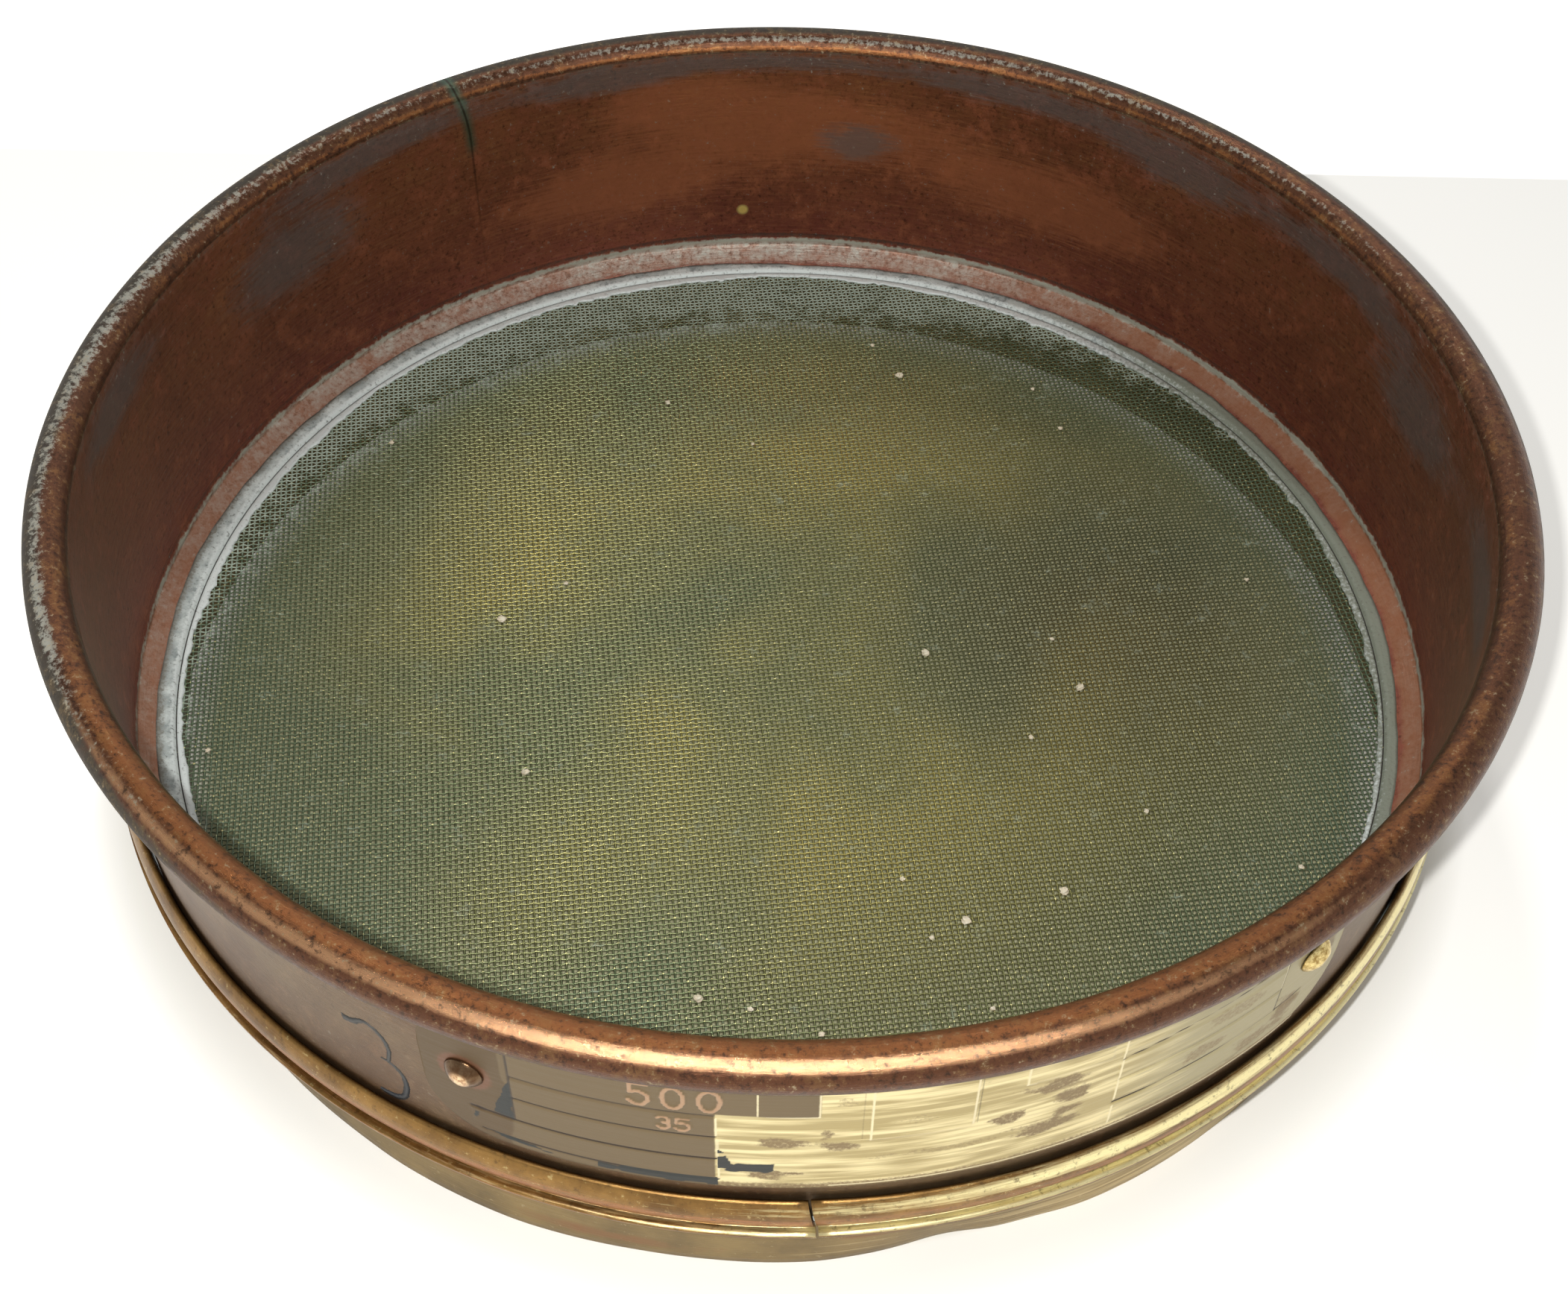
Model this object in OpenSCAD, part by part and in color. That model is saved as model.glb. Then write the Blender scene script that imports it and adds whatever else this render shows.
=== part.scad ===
// Laboratory test sieve: a brass sheet frame with a rolled rim, woven wire cloth soldered
// between the frame's shoulder and a nesting skirt, a seating ring and a riveted nameplate.
// Z is the sieve's axis, Z = 0 the skirt's bottom edge, and -Y the front.

/* [Frame] */
// Inside diameter of the frame, which the skirt of the sieve above enters
bore_d = 200; // [150:1:305]
// Thickness of the brass sheet of frame and skirt
sheet_t = 0.8; // [0.6:0.1:1.2]
// Depth of the sieving chamber, from the top of the cloth to the top of the rim
chamber_h = 47.5; // [40:0.5:80]
// Outside diameter of the bead that the rim is rolled into
bead_d = 6; // [5:0.5:8]
// Angle that the sheet is rolled through to form the bead
bead_turn = 290; // [240:5:310]
// Radial reach of the sloping shoulder, from the wall in over the cloth
shoulder_reach = 4.6; // [4:0.1:7]
// Height of the wall's inner corner above the cloth, where the shoulder begins
shoulder_h = 3.3; // [3:0.1:6]
// Width of the flat toe with which the shoulder stands on the cloth
toe_w = 1.2; // [0.8:0.1:2]
// Radius of the bends in the sheet, at mid-thickness
bend_r = 1; // [0.8:0.1:1.5]

/* [Skirt] */
// Radial gap between the skirt and the frame that it nests in
nest_gap = 1.2; // [0.3:0.1:2]
// Height of the skirt, from its bottom edge to the underside of the cloth
skirt_h = 13.5; // [12:0.5:25]
// Radial width of the skirt's inward flange under the cloth
flange_w = 3.4; // [2.5:0.1:5]

/* [Joint ring] */
// Thickness of the strip that the ring is formed from
ring_t = 0.6; // [0.5:0.1:0.8]
// Height of the ring's seating lip, its underside, above the cloth's underside
ring_seat_h = 3.5; // [3:0.1:5]
// Height of the ring, from the underside of its lip to its top edge
ring_h = 7; // [6:0.5:10]
// Gap between the frame and the ring's waist, where it is soldered on
ring_waist_gap = 0.4; // [0.3:0.1:0.6]
// How far the ring's convex face stands out from its waist
ring_bulge = 1; // [0.6:0.1:1.4]
// Reach of the lip beyond the ring's waist
lip_reach = 1.6; // [1.2:0.1:2.5]
// Width of the open joint between the ring's two ends
ring_split = 0.35; // [0.2:0.05:1]
// Direction of the open joint, from the front towards +X
split_angle = 3; // [-20:1:20]

/* [Wire cloth] */
// Diameter of the cloth's wire
wire_d = 0.315; // [0.2:0.005:0.4]
// Centre distance of the cloth's gaps, which stand for groups of its fine openings
cell = 16.3; // [14.5:0.1:30]
// Share of that distance that is open, along each wire direction
open_share = 0.61; // [0.4:0.01:0.7]
// Ridges side by side in each band of wires between the gaps
ridges_per_band = 5; // [2:1:6]
// Height of a ridge above the core of the cloth
ridge_h = 0.19; // [0.1:0.01:0.2]
// Turn of the wires from the X axis
weave_angle = 8; // [-45:1:45]
// How far the cloth reaches out under the shoulder's toe
cloth_seat = 2.8; // [2:0.1:4]

/* [Solder] */
// Reach of the solder fillet over the cloth, in from the shoulder's toe
fillet_reach = 0.6; // [0.3:0.1:1.5]
// Thickness of the solder on top of the shoulder's toe
fillet_t = 0.4; // [0.2:0.1:0.8]
// Width of solder that runs up the shoulder, past the toe
fillet_run = 1.2; // [0.6:0.1:1.8]
// Thickness of the solder that shows outside the seams
seam_t = 0.4; // [0.2:0.1:0.8]

/* [Nameplate] */
// Thickness of the nameplate
plate_t = 0.6; // [0.4:0.1:1]
// Height of the nameplate
plate_h = 28; // [20:0.5:29]
// Width of the nameplate, measured round the frame
plate_w = 123.2; // [90:0.2:160]
// Direction of the nameplate's middle, from the front towards +X
plate_angle = 10.2; // [-30:0.2:30]
// Radius of the nameplate's rounded corners
plate_corner_r = 10; // [3:0.5:12]
// Gap between the nameplate's top edge and the bead
plate_gap = 0.6; // [0.3:0.1:3]

/* [Rivets] */
// Diameter of the rivets' shanks
shank_d = 3; // [2:0.1:4]
// Diameter of the rivets' round heads
head_d = 5.2; // [4.5:0.1:7]
// Height of the rivets' round heads
head_h = 1.5; // [1:0.1:2.2]
// Distance of each rivet from the nameplate's end, measured round the frame
rivet_edge = 6; // [4:0.2:14]
// Height of the rivets below the nameplate's top edge
rivet_drop = 13.5; // [5:0.5:20]

/* [Hidden] */

round_fn = 180;
small_fn = 48;
bend_steps = 6;
bead_steps = 32;
bulge_steps = 12;
margin = 1;

// Inside radius of the ring's bend between lip and band, per unit of its thickness
ring_bend_share = 0.7;
// Share of a wire ridge's width that is its flat crest
crest_share = 0.6;

// Heights, from the skirt's bottom edge up
cloth_z = skirt_h;
cloth_top = cloth_z + 2 * wire_d;
rim_top = cloth_top + chamber_h;
bead_z = rim_top - bead_d / 2;
ring_z = cloth_z + ring_seat_h;
plate_top = bead_z - bead_d / 2 - plate_gap;

// Radii, from the axis out
bore_r = bore_d / 2;
wall_r = bore_r + sheet_t;
bead_r = bore_r + bead_d / 2;
toe_r = bore_r - shoulder_reach;
skirt_r = bore_r - nest_gap;
flange_r = skirt_r - flange_w;
cloth_r = toe_r + cloth_seat;
plate_r = wall_r + plate_t;
waist_r = wall_r + ring_waist_gap + ring_t / 2;

// Angles round the frame: half of the nameplate, and from its middle to a rivet
degrees_per_mm = 360 / (2 * PI * plate_r);
plate_half = plate_w / 2 * degrees_per_mm;
rivet_side = plate_half - rivet_edge * degrees_per_mm;

// The shoulder's two bends, at mid-thickness: where toe and slope meet, and slope and wall
heel = [toe_r + toe_w, cloth_top + sheet_t / 2];
corner = [bore_r + sheet_t / 2, cloth_top + shoulder_h - sheet_t / 4];

wire_mid = cloth_z + wire_d;
band_w = cell * (1 - open_share);
cells = ceil(cloth_r / cell);

function unit(v) = v / norm(v);

function direction(v) = atan2(v[1], v[0]);

// Points on a circle from angle a0 to a1
function arc(centre, r, a0, a1, steps) =
    [for (i = [0:steps]) centre + r * [cos(a0 + (a1 - a0) * i / steps), sin(a0 + (a1 - a0) * i / steps)]];

// Points of a round bend of radius r at b, on the way from a to c
function bend(a, b, c, r) =
    let (u = unit(a - b), v = unit(c - b))
    let (half = acos(u * v) / 2)
    let (centre = b + unit(u + v) * r / sin(half))
    let (a0 = direction(b + u * r / tan(half) - centre))
    let (turn = direction(b + v * r / tan(half) - centre) - a0)
    let (sweep = turn > 180 ? turn - 360 : turn < -180 ? turn + 360 : turn)
    arc(centre, r, a0, a0 + sweep, bend_steps);

// Direction across the path at its point i, scaled so that a mitred offset keeps its distance
function across(path, i) =
    let (last = len(path) - 1)
    let (before = unit(path[max(i, 1)] - path[max(i, 1) - 1]))
    let (after = unit(path[min(i, last - 1) + 1] - path[min(i, last - 1)]))
    let (along = unit(before + after))
    [-along[1], along[0]] / (along * after);

// Section of a formed sheet of thickness t, from the path along the middle of its thickness
module sheet_section(path, t) {
    one_side = [for (i = [0:len(path) - 1]) path[i] + across(path, i) * t / 2];
    other_side = [for (i = [len(path) - 1:-1:0]) path[i] - across(path, i) * t / 2];
    polygon(concat(one_side, other_side));
}

// The frame's sheet: toe on the cloth, shoulder, wall, and the bead rolled outward
module frame_section() {
    toe = [toe_r, heel[1]];
    top = [corner[0], bead_z];
    roll = arc([bead_r, bead_z], (bead_d - sheet_t) / 2, 180, 180 - bead_turn, bead_steps);
    path = concat([toe], bend(toe, heel, corner, bend_r / 2), bend(heel, corner, top, bend_r), roll);
    sheet_section(path, sheet_t);
}

// The skirt's sheet: plain tube with a flange turned in under the cloth
module skirt_section() {
    mid_r = skirt_r - sheet_t / 2;
    foot = [mid_r, 0];
    corner = [mid_r, cloth_z - sheet_t / 2];
    flange_end = [flange_r, cloth_z - sheet_t / 2];
    sheet_section(concat([foot], bend(foot, corner, flange_end, bend_r), [flange_end]), sheet_t);
}

// The ring's strip: seating lip, waist, and the convex band up to its free top edge
module ring_section() {
    band_z0 = ring_z + ring_t / 2 + ring_t;
    band_h = ring_z + ring_h - band_z0;
    bulge_r = (band_h * band_h / 4 + ring_bulge * ring_bulge) / (2 * ring_bulge);
    bulge_centre = [waist_r + ring_bulge - bulge_r, band_z0 + band_h / 2];
    half_turn = asin(band_h / 2 / bulge_r);
    lip_edge = [waist_r + lip_reach, ring_z + ring_t / 2];
    waist = [waist_r, ring_z + ring_t / 2];
    band = arc(bulge_centre, bulge_r, -half_turn, half_turn, bulge_steps);
    sheet_section(concat([lip_edge], bend(lip_edge, waist, band[0], ring_t * ring_bend_share), band), ring_t);
}

module cloth_section() {
    translate([0, cloth_z])
        square([cloth_r, 2 * wire_d]);
}

module upper_frame() {
    color("#8a5340")
        difference() {
            rotate_extrude($fn = round_fn)
                frame_section();
            rivet_holes();
        }
}

module skirt() {
    color("#8c8350")
        rotate_extrude($fn = round_fn)
            skirt_section();
}

module joint_ring() {
    color("#b98f3c")
        difference() {
            rotate_extrude($fn = round_fn)
                ring_section();
            facing(split_angle)
                translate([-ring_split / 2, -waist_r - lip_reach - margin, ring_z - margin])
                    cube([ring_split, 2 * lip_reach + 2 * margin, ring_h + 2 * margin]);
        }
}

// Bands of wire along X, one between each two rows of gaps, ridged on the side away from the core
module wire_bands() {
    step = band_w / ridges_per_band;
    flank = step * (1 - crest_share) / 2;
    ridges = [for (i = [0:ridges_per_band - 1]) each
        [[i * step + flank, wire_d], [(i + 1) * step - flank, wire_d], [(i + 1) * step, wire_d - ridge_h]]];
    for (row = [-cells:cells])
        translate([-cloth_r, (row + 0.5) * cell - band_w / 2, wire_mid])
            rotate([90, 0, 90])
                linear_extrude(2 * cloth_r)
                    polygon(concat([[0, 0], [0, wire_d - ridge_h]], ridges, [[band_w, 0]]));
}

// The cloth: a thin wall with square gaps, ridged along X above and along Y below
module wire_cloth() {
    open_w = cell * open_share;
    inner_r = toe_r - fillet_reach;
    core_h = 2 * (wire_d - ridge_h);
    color("#7c7a48")
        rotate([0, 0, weave_angle])
            union() {
                difference() {
                    translate([0, 0, wire_mid - core_h / 2])
                        cylinder(h = core_h, r = cloth_r, $fn = round_fn);
                    for (i = [-cells:cells], j = [-cells:cells])
                        if (norm([abs(i) * cell + open_w / 2, abs(j) * cell + open_w / 2]) < inner_r - margin)
                            translate([i * cell - open_w / 2, j * cell - open_w / 2, cloth_z - margin])
                                cube([open_w, open_w, 2 * margin + 2 * wire_d]);
                }
                intersection() {
                    union() {
                        wire_bands();
                        translate([0, 0, 2 * wire_mid])
                            mirror([0, 0, 1])
                                rotate([0, 0, 90])
                                    wire_bands();
                    }
                    translate([0, 0, cloth_z - margin])
                        cylinder(h = 2 * margin + 2 * wire_d, r = inner_r, $fn = round_fn);
                }
                rotate_extrude($fn = round_fn)
                    translate([inner_r, cloth_z])
                        square([cloth_r - inner_r, 2 * wire_d]);
            }
}

// Solder fillet: from the cloth up over the shoulder's toe, feathered out on the slope
module cloth_solder() {
    color("#a3a39b")
        rotate_extrude($fn = round_fn)
            difference() {
                polygon([
                    [toe_r - fillet_reach, cloth_top],
                    [toe_r, cloth_top + sheet_t + fillet_t / 2],
                    [heel[0], cloth_top + sheet_t + fillet_t],
                    heel + (corner - heel) * fillet_run / shoulder_reach + [0, sheet_t / 2],
                    heel,
                    [toe_r + toe_w / 2, heel[1]],
                    [toe_r, cloth_top]
                ]);
                frame_section();
            }
}

// Seam solder: closes the cloth's edge in between shoulder and skirt
module seam_solder() {
    color("#8f8f88")
        rotate_extrude($fn = round_fn)
            difference() {
                polygon([
                    [heel[0], cloth_z - sheet_t / 2],
                    [skirt_r - sheet_t / 2, cloth_z - bend_r],
                    [skirt_r + seam_t / 2, cloth_z],
                    [skirt_r + seam_t, cloth_top],
                    heel + (corner - heel) * (skirt_r + 2 * seam_t - heel[0]) / (corner[0] - heel[0]),
                    heel
                ]);
                frame_section();
                skirt_section();
                cloth_section();
            }
}

// Ring solder: fills the gap between the frame and the ring's waist
module ring_solder() {
    color("#8f8f88")
        rotate_extrude($fn = round_fn)
            difference() {
                polygon([
                    [corner[0], ring_z + ring_t / 2],
                    [waist_r, ring_z + ring_t / 2],
                    [waist_r, ring_z + 2 * ring_t],
                    [corner[0], ring_z + 2 * ring_t + seam_t]
                ]);
                frame_section();
                ring_section();
            }
}

// Turns its children from the front, -Y, by an angle towards +X
module facing(angle) {
    rotate([0, 0, angle])
        children();
}

// Puts its children, which stand on Z, on a radius at the height of the rivets
module at_rivet(side) {
    facing(plate_angle + side * rivet_side)
        translate([0, 0, plate_top - rivet_drop])
            rotate([90, 0, 0])
                children();
}

module rivet_holes() {
    for (side = [-1, 1])
        at_rivet(side)
            translate([0, 0, bore_r - margin])
                cylinder(h = plate_t + sheet_t + 2 * margin, d = shank_d, $fn = small_fn);
}

// The nameplate's outline seen from its front, with round corners
module plate_outline(width, height) {
    x = width / 2 - plate_corner_r;
    y = height / 2 - plate_corner_r;
    polygon([for (c = [[x, y, 0], [-x, y, 90], [-x, -y, 180], [x, -y, 270]])
        each arc([c[0], c[1]], plate_corner_r, c[2], c[2] + 90, bulge_steps)]);
}

module nameplate() {
    color("#c9bd83")
        difference() {
            intersection() {
                translate([0, 0, plate_top - plate_h])
                    cylinder(h = plate_h, r = plate_r, $fn = round_fn);
                facing(plate_angle)
                    translate([0, 0, plate_top - plate_h / 2])
                        rotate([90, 0, 0])
                            linear_extrude(plate_r + margin)
                                plate_outline(2 * plate_r * sin(plate_half), plate_h);
            }
            cylinder(h = rim_top, r = wall_r, $fn = round_fn);
            rivet_holes();
        }
}

// A rivet: shank dressed flush with the bore, and a domed head seated on the nameplate
module rivet(side) {
    dome_r = (head_d * head_d / 4 + head_h * head_h) / (2 * head_h);
    union() {
        difference() {
            at_rivet(side)
                translate([0, 0, bore_r - margin])
                    cylinder(h = margin + sheet_t + plate_t + head_h / 2, d = shank_d, $fn = small_fn);
            cylinder(h = rim_top, r = bore_r, $fn = round_fn);
        }
        difference() {
            at_rivet(side)
                translate([0, 0, plate_r + head_h - dome_r])
                    sphere(r = dome_r, $fn = small_fn);
            cylinder(h = rim_top, r = plate_r, $fn = round_fn);
        }
    }
}

module rivet_left() {
    color("#9a6a45")
        rivet(-1);
}

module rivet_right() {
    color("#d8c56c")
        rivet(1);
}

upper_frame();
wire_cloth();
skirt();
joint_ring();
cloth_solder();
seam_solder();
ring_solder();
nameplate();
rivet_left();
rivet_right();
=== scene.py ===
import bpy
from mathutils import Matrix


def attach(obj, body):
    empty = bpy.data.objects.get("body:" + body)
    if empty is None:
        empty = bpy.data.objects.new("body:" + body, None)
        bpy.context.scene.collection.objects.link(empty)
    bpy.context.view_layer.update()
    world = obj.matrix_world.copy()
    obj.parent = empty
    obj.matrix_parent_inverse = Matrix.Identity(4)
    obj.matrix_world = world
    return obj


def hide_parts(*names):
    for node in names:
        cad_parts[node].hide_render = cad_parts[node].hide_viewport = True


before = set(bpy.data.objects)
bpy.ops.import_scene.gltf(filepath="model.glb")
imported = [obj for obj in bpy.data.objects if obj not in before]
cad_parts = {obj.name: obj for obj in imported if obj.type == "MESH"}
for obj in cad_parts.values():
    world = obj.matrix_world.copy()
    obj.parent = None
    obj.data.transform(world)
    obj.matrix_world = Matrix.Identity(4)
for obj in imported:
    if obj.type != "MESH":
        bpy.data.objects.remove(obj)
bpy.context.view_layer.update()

import math

import bmesh
import bpy
import numpy as np

# ---- Table, light and camera --------------------------------------------------------------------
# A white lacquered table top whose far edge runs close behind the sieve, lit by a small lamp held
# beside the eye, a ceiling lamp high behind the sieve and the room. It keeps the sieve's soft shadow,
# and under the sieve it is painted a dull olive as painted shade.

def linear(code):
    """The linear colour of an sRGB hex code."""
    parts = [int(code[i:i + 2], 16) / 255 for i in (1, 3, 5)]
    return [v / 12.92 if v < 0.04045 else ((v + 0.055) / 1.055) ** 2.4 for v in parts] + [1.0]


def add(tree, kind, inputs=(), output=None, **settings):
    """Adds a shader node with its settings, sets or links its inputs, and returns the named output
    or else the first one in use."""
    made = tree.nodes.new("ShaderNode" + kind)
    for name, value in settings.items():
        setattr(made, name, value)
    for key, value in dict(inputs).items():
        if isinstance(key, int):
            socket = made.inputs[key]
        else:
            socket = next(s for s in made.inputs if s.enabled and s.name == key)
        if isinstance(value, bpy.types.NodeSocket):
            tree.links.new(value, socket)
        elif isinstance(value, str):
            socket.default_value = linear(value)
        else:
            socket.default_value = value
    if output:
        return made.outputs[output]
    return next((s for s in made.outputs if s.enabled), None)


def blank(name):
    """A new material, its empty node tree, and the place on the object in mm for its patterns."""
    material = bpy.data.materials.new(name)
    material.use_nodes = True
    tree = material.node_tree
    tree.nodes.clear()
    place = add(tree, "TexCoord", output="Object")
    return material, tree, add(tree, "VectorMath", {0: place, "Scale": 1000.0}, operation="SCALE")


def seen_part(tree):
    """1 for rays that reach the eye, straight or by way of a shine or a gap, and 0 for the rest."""
    kind = add(tree, "LightPath").node.outputs
    seen = add(tree, "Math", {0: kind["Is Camera Ray"], 1: kind["Is Glossy Ray"]}, operation="ADD")
    return add(tree, "Math", {0: seen, 1: kind["Is Transmission Ray"]}, operation="ADD", use_clamp=True)


def over(tree, tone, colour, pattern, low=0.0, high=1.0, most=1.0, where=None):
    """The tone with a colour laid over it, by a share that rises in a straight line from 0 where the
    pattern is low to the most where it is high, times a mask if one says where."""
    share = add(tree, "MapRange", {"Value": pattern, "From Min": low, "From Max": high, "To Max": most})
    if where is not None:
        share = add(tree, "Math", {0: share, 1: where}, operation="MULTIPLY")
    return add(tree, "Mix", {"Factor": share, "A": tone, "B": colour}, data_type="RGBA")


def object_of(name, mesh, material):
    """Puts a mesh into the scene under its name, with one material."""
    made = bpy.data.objects.new(name, mesh)
    mesh.materials.append(material)
    bpy.context.scene.collection.objects.link(made)
    return made


# white lacquer that takes shadow, with a faint glow of its own in what the eye sees, less under the
# sieve and more beyond the table's edge and to the left, as the room's pale wall lights it
TABLE_EDGE_Y, SHADE_R, PAINTED_SHADE_R = 151.5, 101.0, 92.0
lacquer, tree, mm = blank("white_table_lacquer")
beside = add(tree, "VectorMath", {0: mm}, operation="LENGTH")
clear = add(tree, "MapRange", {"Value": beside, "From Min": SHADE_R, "From Max": SHADE_R + 10.0})
beyond = add(tree, "SeparateXYZ", {0: mm}, "Y")
beyond = add(tree, "MapRange", {"Value": beyond, "From Min": TABLE_EDGE_Y, "From Max": TABLE_EDGE_Y + 0.4})
glow = add(tree, "MapRange", {"Value": clear, "To Min": 0.06, "To Max": 0.28})
glow = add(tree, "Math", {0: beyond, 1: 0.4, 2: glow}, operation="MULTIPLY_ADD")
lee = add(tree, "SeparateXYZ", {0: mm}, "X")
lee = add(tree, "MapRange", {"Value": lee, "From Min": 40.0, "From Max": -60.0, "To Max": 0.12})
glow = add(tree, "Math", {0: lee, 1: clear, 2: glow}, operation="MULTIPLY_ADD")
# painted shade: under the sieve the glow is tinted a dull olive
glow_tint_painted_shade = over(tree, "#77734a", "#fffefa", beside, SHADE_R, SHADE_R + 10.0)
glow = add(tree, "Emission", {"Color": glow_tint_painted_shade, "Strength": glow})
# painted shade: inside 92 mm the lacquer is painted a dull olive, fading to white by 97.5 mm
top = add(tree, "BsdfDiffuse", {"Color": over(tree, "#b4b290", "#f4f2ec", beside, PAINTED_SHADE_R, PAINTED_SHADE_R + 5.5)})
both = add(tree, "AddShader", {0: top, 1: glow})
add(tree, "OutputMaterial", {"Surface": add(tree, "MixShader", {0: seen_part(tree), 1: top, 2: both})})

HALF = 3.0
corners = [(-HALF, -HALF, 0), (HALF, -HALF, 0), (HALF, HALF, 0), (-HALF, HALF, 0)]
table_mesh = bpy.data.meshes.new("table")
table_mesh.from_pydata(corners, [], [(0, 1, 2, 3)])
table = object_of("table", table_mesh, lacquer)

world = bpy.data.worlds.new("room")
bpy.context.scene.world = world
world.use_nodes = True
tree = world.node_tree
tree.nodes.clear()
high = add(tree, "SeparateXYZ", {0: add(tree, "TexCoord")}, "Z")
high = add(tree, "MapRange", {"Value": high, "From Min": 0.1, "From Max": 0.8, "To Min": 1.0, "To Max": 0.3})
room = add(tree, "Background", {"Color": "#ffffff", "Strength": 0.36})
walls = add(tree, "Background", {"Color": "#ffffff", "Strength": high})
add(tree, "OutputWorld", {"Surface": add(tree, "MixShader", {0: seen_part(tree), 1: room, 2: walls})})


def lamp(name, place, aim, width, power):
    """A square soft lamp at a place, turned to the point it lights."""
    light = bpy.data.lights.new(name, "AREA")
    light.size = width
    light.energy = power
    made = bpy.data.objects.new(name, light)
    way = np.array(aim) - place
    way /= np.linalg.norm(way)
    side = np.cross(way, (0, 0, 1))
    side /= np.linalg.norm(side)
    turned = np.eye(4)
    turned[:3, 0], turned[:3, 1], turned[:3, 2], turned[:3, 3] = side, np.cross(side, way), -way, place
    made.matrix_world = turned.T.tolist()
    bpy.context.scene.collection.objects.link(made)


MID_SIEVE = (0, 0, 0.03)
lamp("hand_lamp", (-0.013, -0.213, 0.252), MID_SIEVE, 0.006, 0.76)
lamp("ceiling_lamp", (-0.05, 0.50, 0.95), MID_SIEVE, 0.09, 2.0)

camera = bpy.data.objects.new("camera", bpy.data.cameras.new("camera"))
camera.data.sensor_width = 36
camera.data.lens = 45.684
camera.data.clip_start = 0.01
camera.location = (0, -0.213661, 0.250908)
camera.rotation_euler = (0.730678, -0.014004, 0.013926)
bpy.context.scene.collection.objects.link(camera)
bpy.context.scene.camera = camera
bpy.context.scene.view_settings.view_transform = "Standard"

# ---- Frame --------------------------------------------------------------------------------------
# One strip of 0.8 mm brass, rolled to a cylinder and butt soldered at the back left. Its rim is
# rolled outward into a bead, and its foot is turned in as a sloping shoulder that stands on the
# cloth. Years of handling left it copper brown, with grey solder and oxide along the bead.

BORE_R, SHEET_T, BEAD_D = 100.0, 0.8, 6.0
CLOTH_TOP, RIM_TOP = 14.13, 61.63
SEAM, SEAM_LEAN = -146.0, 0.09
STEPS, STEP = 400, 0.9


def bend(a, b, c, radius, steps=6):
    """Points of a round bend at b between the legs to a and c."""
    a, b, c = (np.array(p, float) for p in (a, b, c))
    u, v = (a - b) / np.linalg.norm(a - b), (c - b) / np.linalg.norm(c - b)
    half_angle = math.acos(u @ v) / 2
    centre = b + (u + v) / np.linalg.norm(u + v) * radius / math.sin(half_angle)
    start = b + u * radius / math.tan(half_angle) - centre
    end = b + v * radius / math.tan(half_angle) - centre
    t = np.linspace(0, 1, steps + 1)[:, None]
    between = start * (1 - t) + end * t
    return centre + between / np.linalg.norm(between, axis=1)[:, None] * radius


def rows(path, longest):
    """The path's points, with more put in where a leg is longer than the longest step."""
    path = np.array(path, float)
    legs = np.linalg.norm(np.diff(path, axis=0), axis=1)
    counts = (legs // longest).astype(int) + 1
    parts = [np.linspace(a, b, n, endpoint=False) for a, b, n in zip(path[:-1], path[1:], counts)]
    return np.vstack(parts + [path[-1:]])


def sheet(path, thickness):
    """Section of a sheet: the path moved half a thickness to each side, joined to one loop."""
    way = np.gradient(path, axis=0)
    way /= np.linalg.norm(way, axis=1)[:, None]
    across = np.stack([-way[:, 1], way[:, 0]], 1) * thickness / 2
    return np.vstack([path + across, (path - across)[::-1]])


def round_about(azimuth, radius, height):
    """Metre points at azimuths in degrees, from the front towards +X, and mm radii and heights."""
    angle = np.radians(azimuth)
    return np.stack([radius * np.sin(angle), -radius * np.cos(angle), height + 0 * radius], -1) / 1000


def skin(name, points, strip, closed_around=True, closed_section=True, marks=()):
    """Mesh of a grid of points (around, section), one quad to each cell, ends capped if open.
    strip gives the grid's UV in mm, with one more row and column than a closed grid has, and
    marks are shares from 0 to 1 at the grid's points, kept as attributes for the material."""
    across, along = points.shape[:2]
    cells = np.arange(across - (not closed_around)), np.arange(along - (not closed_section))
    i, j = np.meshgrid(*cells, indexing="ij")
    corners = [(i, j), (i + 1, j), (i + 1, j + 1), (i, j + 1)]
    quads = np.stack([(a % across) * along + b % along for a, b in corners], -1).reshape(-1, 4)
    uv = np.stack([strip[a, b] for a, b in corners], -2).reshape(-1, 4, 2)
    flat = points.reshape(-1, 3)
    middle = flat[quads].mean(1)
    normal = np.cross(flat[quads[:, 2]] - flat[quads[:, 0]], flat[quads[:, 3]] - flat[quads[:, 1]])
    faces = quads.tolist()
    caps = []
    if not closed_around and closed_section:
        caps = [list(range(along)), list(range((across - 1) * along, across * along))[::-1]]
    if ((middle - flat.mean(0)) * normal).sum() < 0:
        faces, uv = quads[:, ::-1].tolist(), uv[:, ::-1]
    else:
        caps = [c[::-1] for c in caps]
    mesh = bpy.data.meshes.new(name)
    mesh.from_pydata(flat.tolist(), [], faces + caps)
    layer = mesh.uv_layers.new(name="strip")
    whole = np.zeros((len(mesh.loops), 2), np.float32)
    whole[:uv.shape[0] * 4] = uv.reshape(-1, 2)
    layer.data.foreach_set("uv", whole.ravel())
    for mark, share in dict(marks).items():
        share = np.broadcast_to(share, (across, along)).astype(np.float32)
        mesh.attributes.new(mark, "FLOAT", "POINT").data.foreach_set("value", share.ravel())
    mesh.polygons.foreach_set("use_smooth", [True] * len(faces) + [False] * len(caps))
    mesh.update()
    return mesh


def strip_of(azimuth, section, radius=BORE_R):
    """UV in mm: distance round the sieve from its seam, and distance along the section."""
    step = np.linalg.norm(np.diff(np.vstack([section, section[:1]]), axis=0), axis=1)
    along = np.concatenate([[0], np.cumsum(step)])
    return np.stack(np.meshgrid(np.radians(azimuth - azimuth[0]) * radius, along, indexing="ij"), -1)


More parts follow.
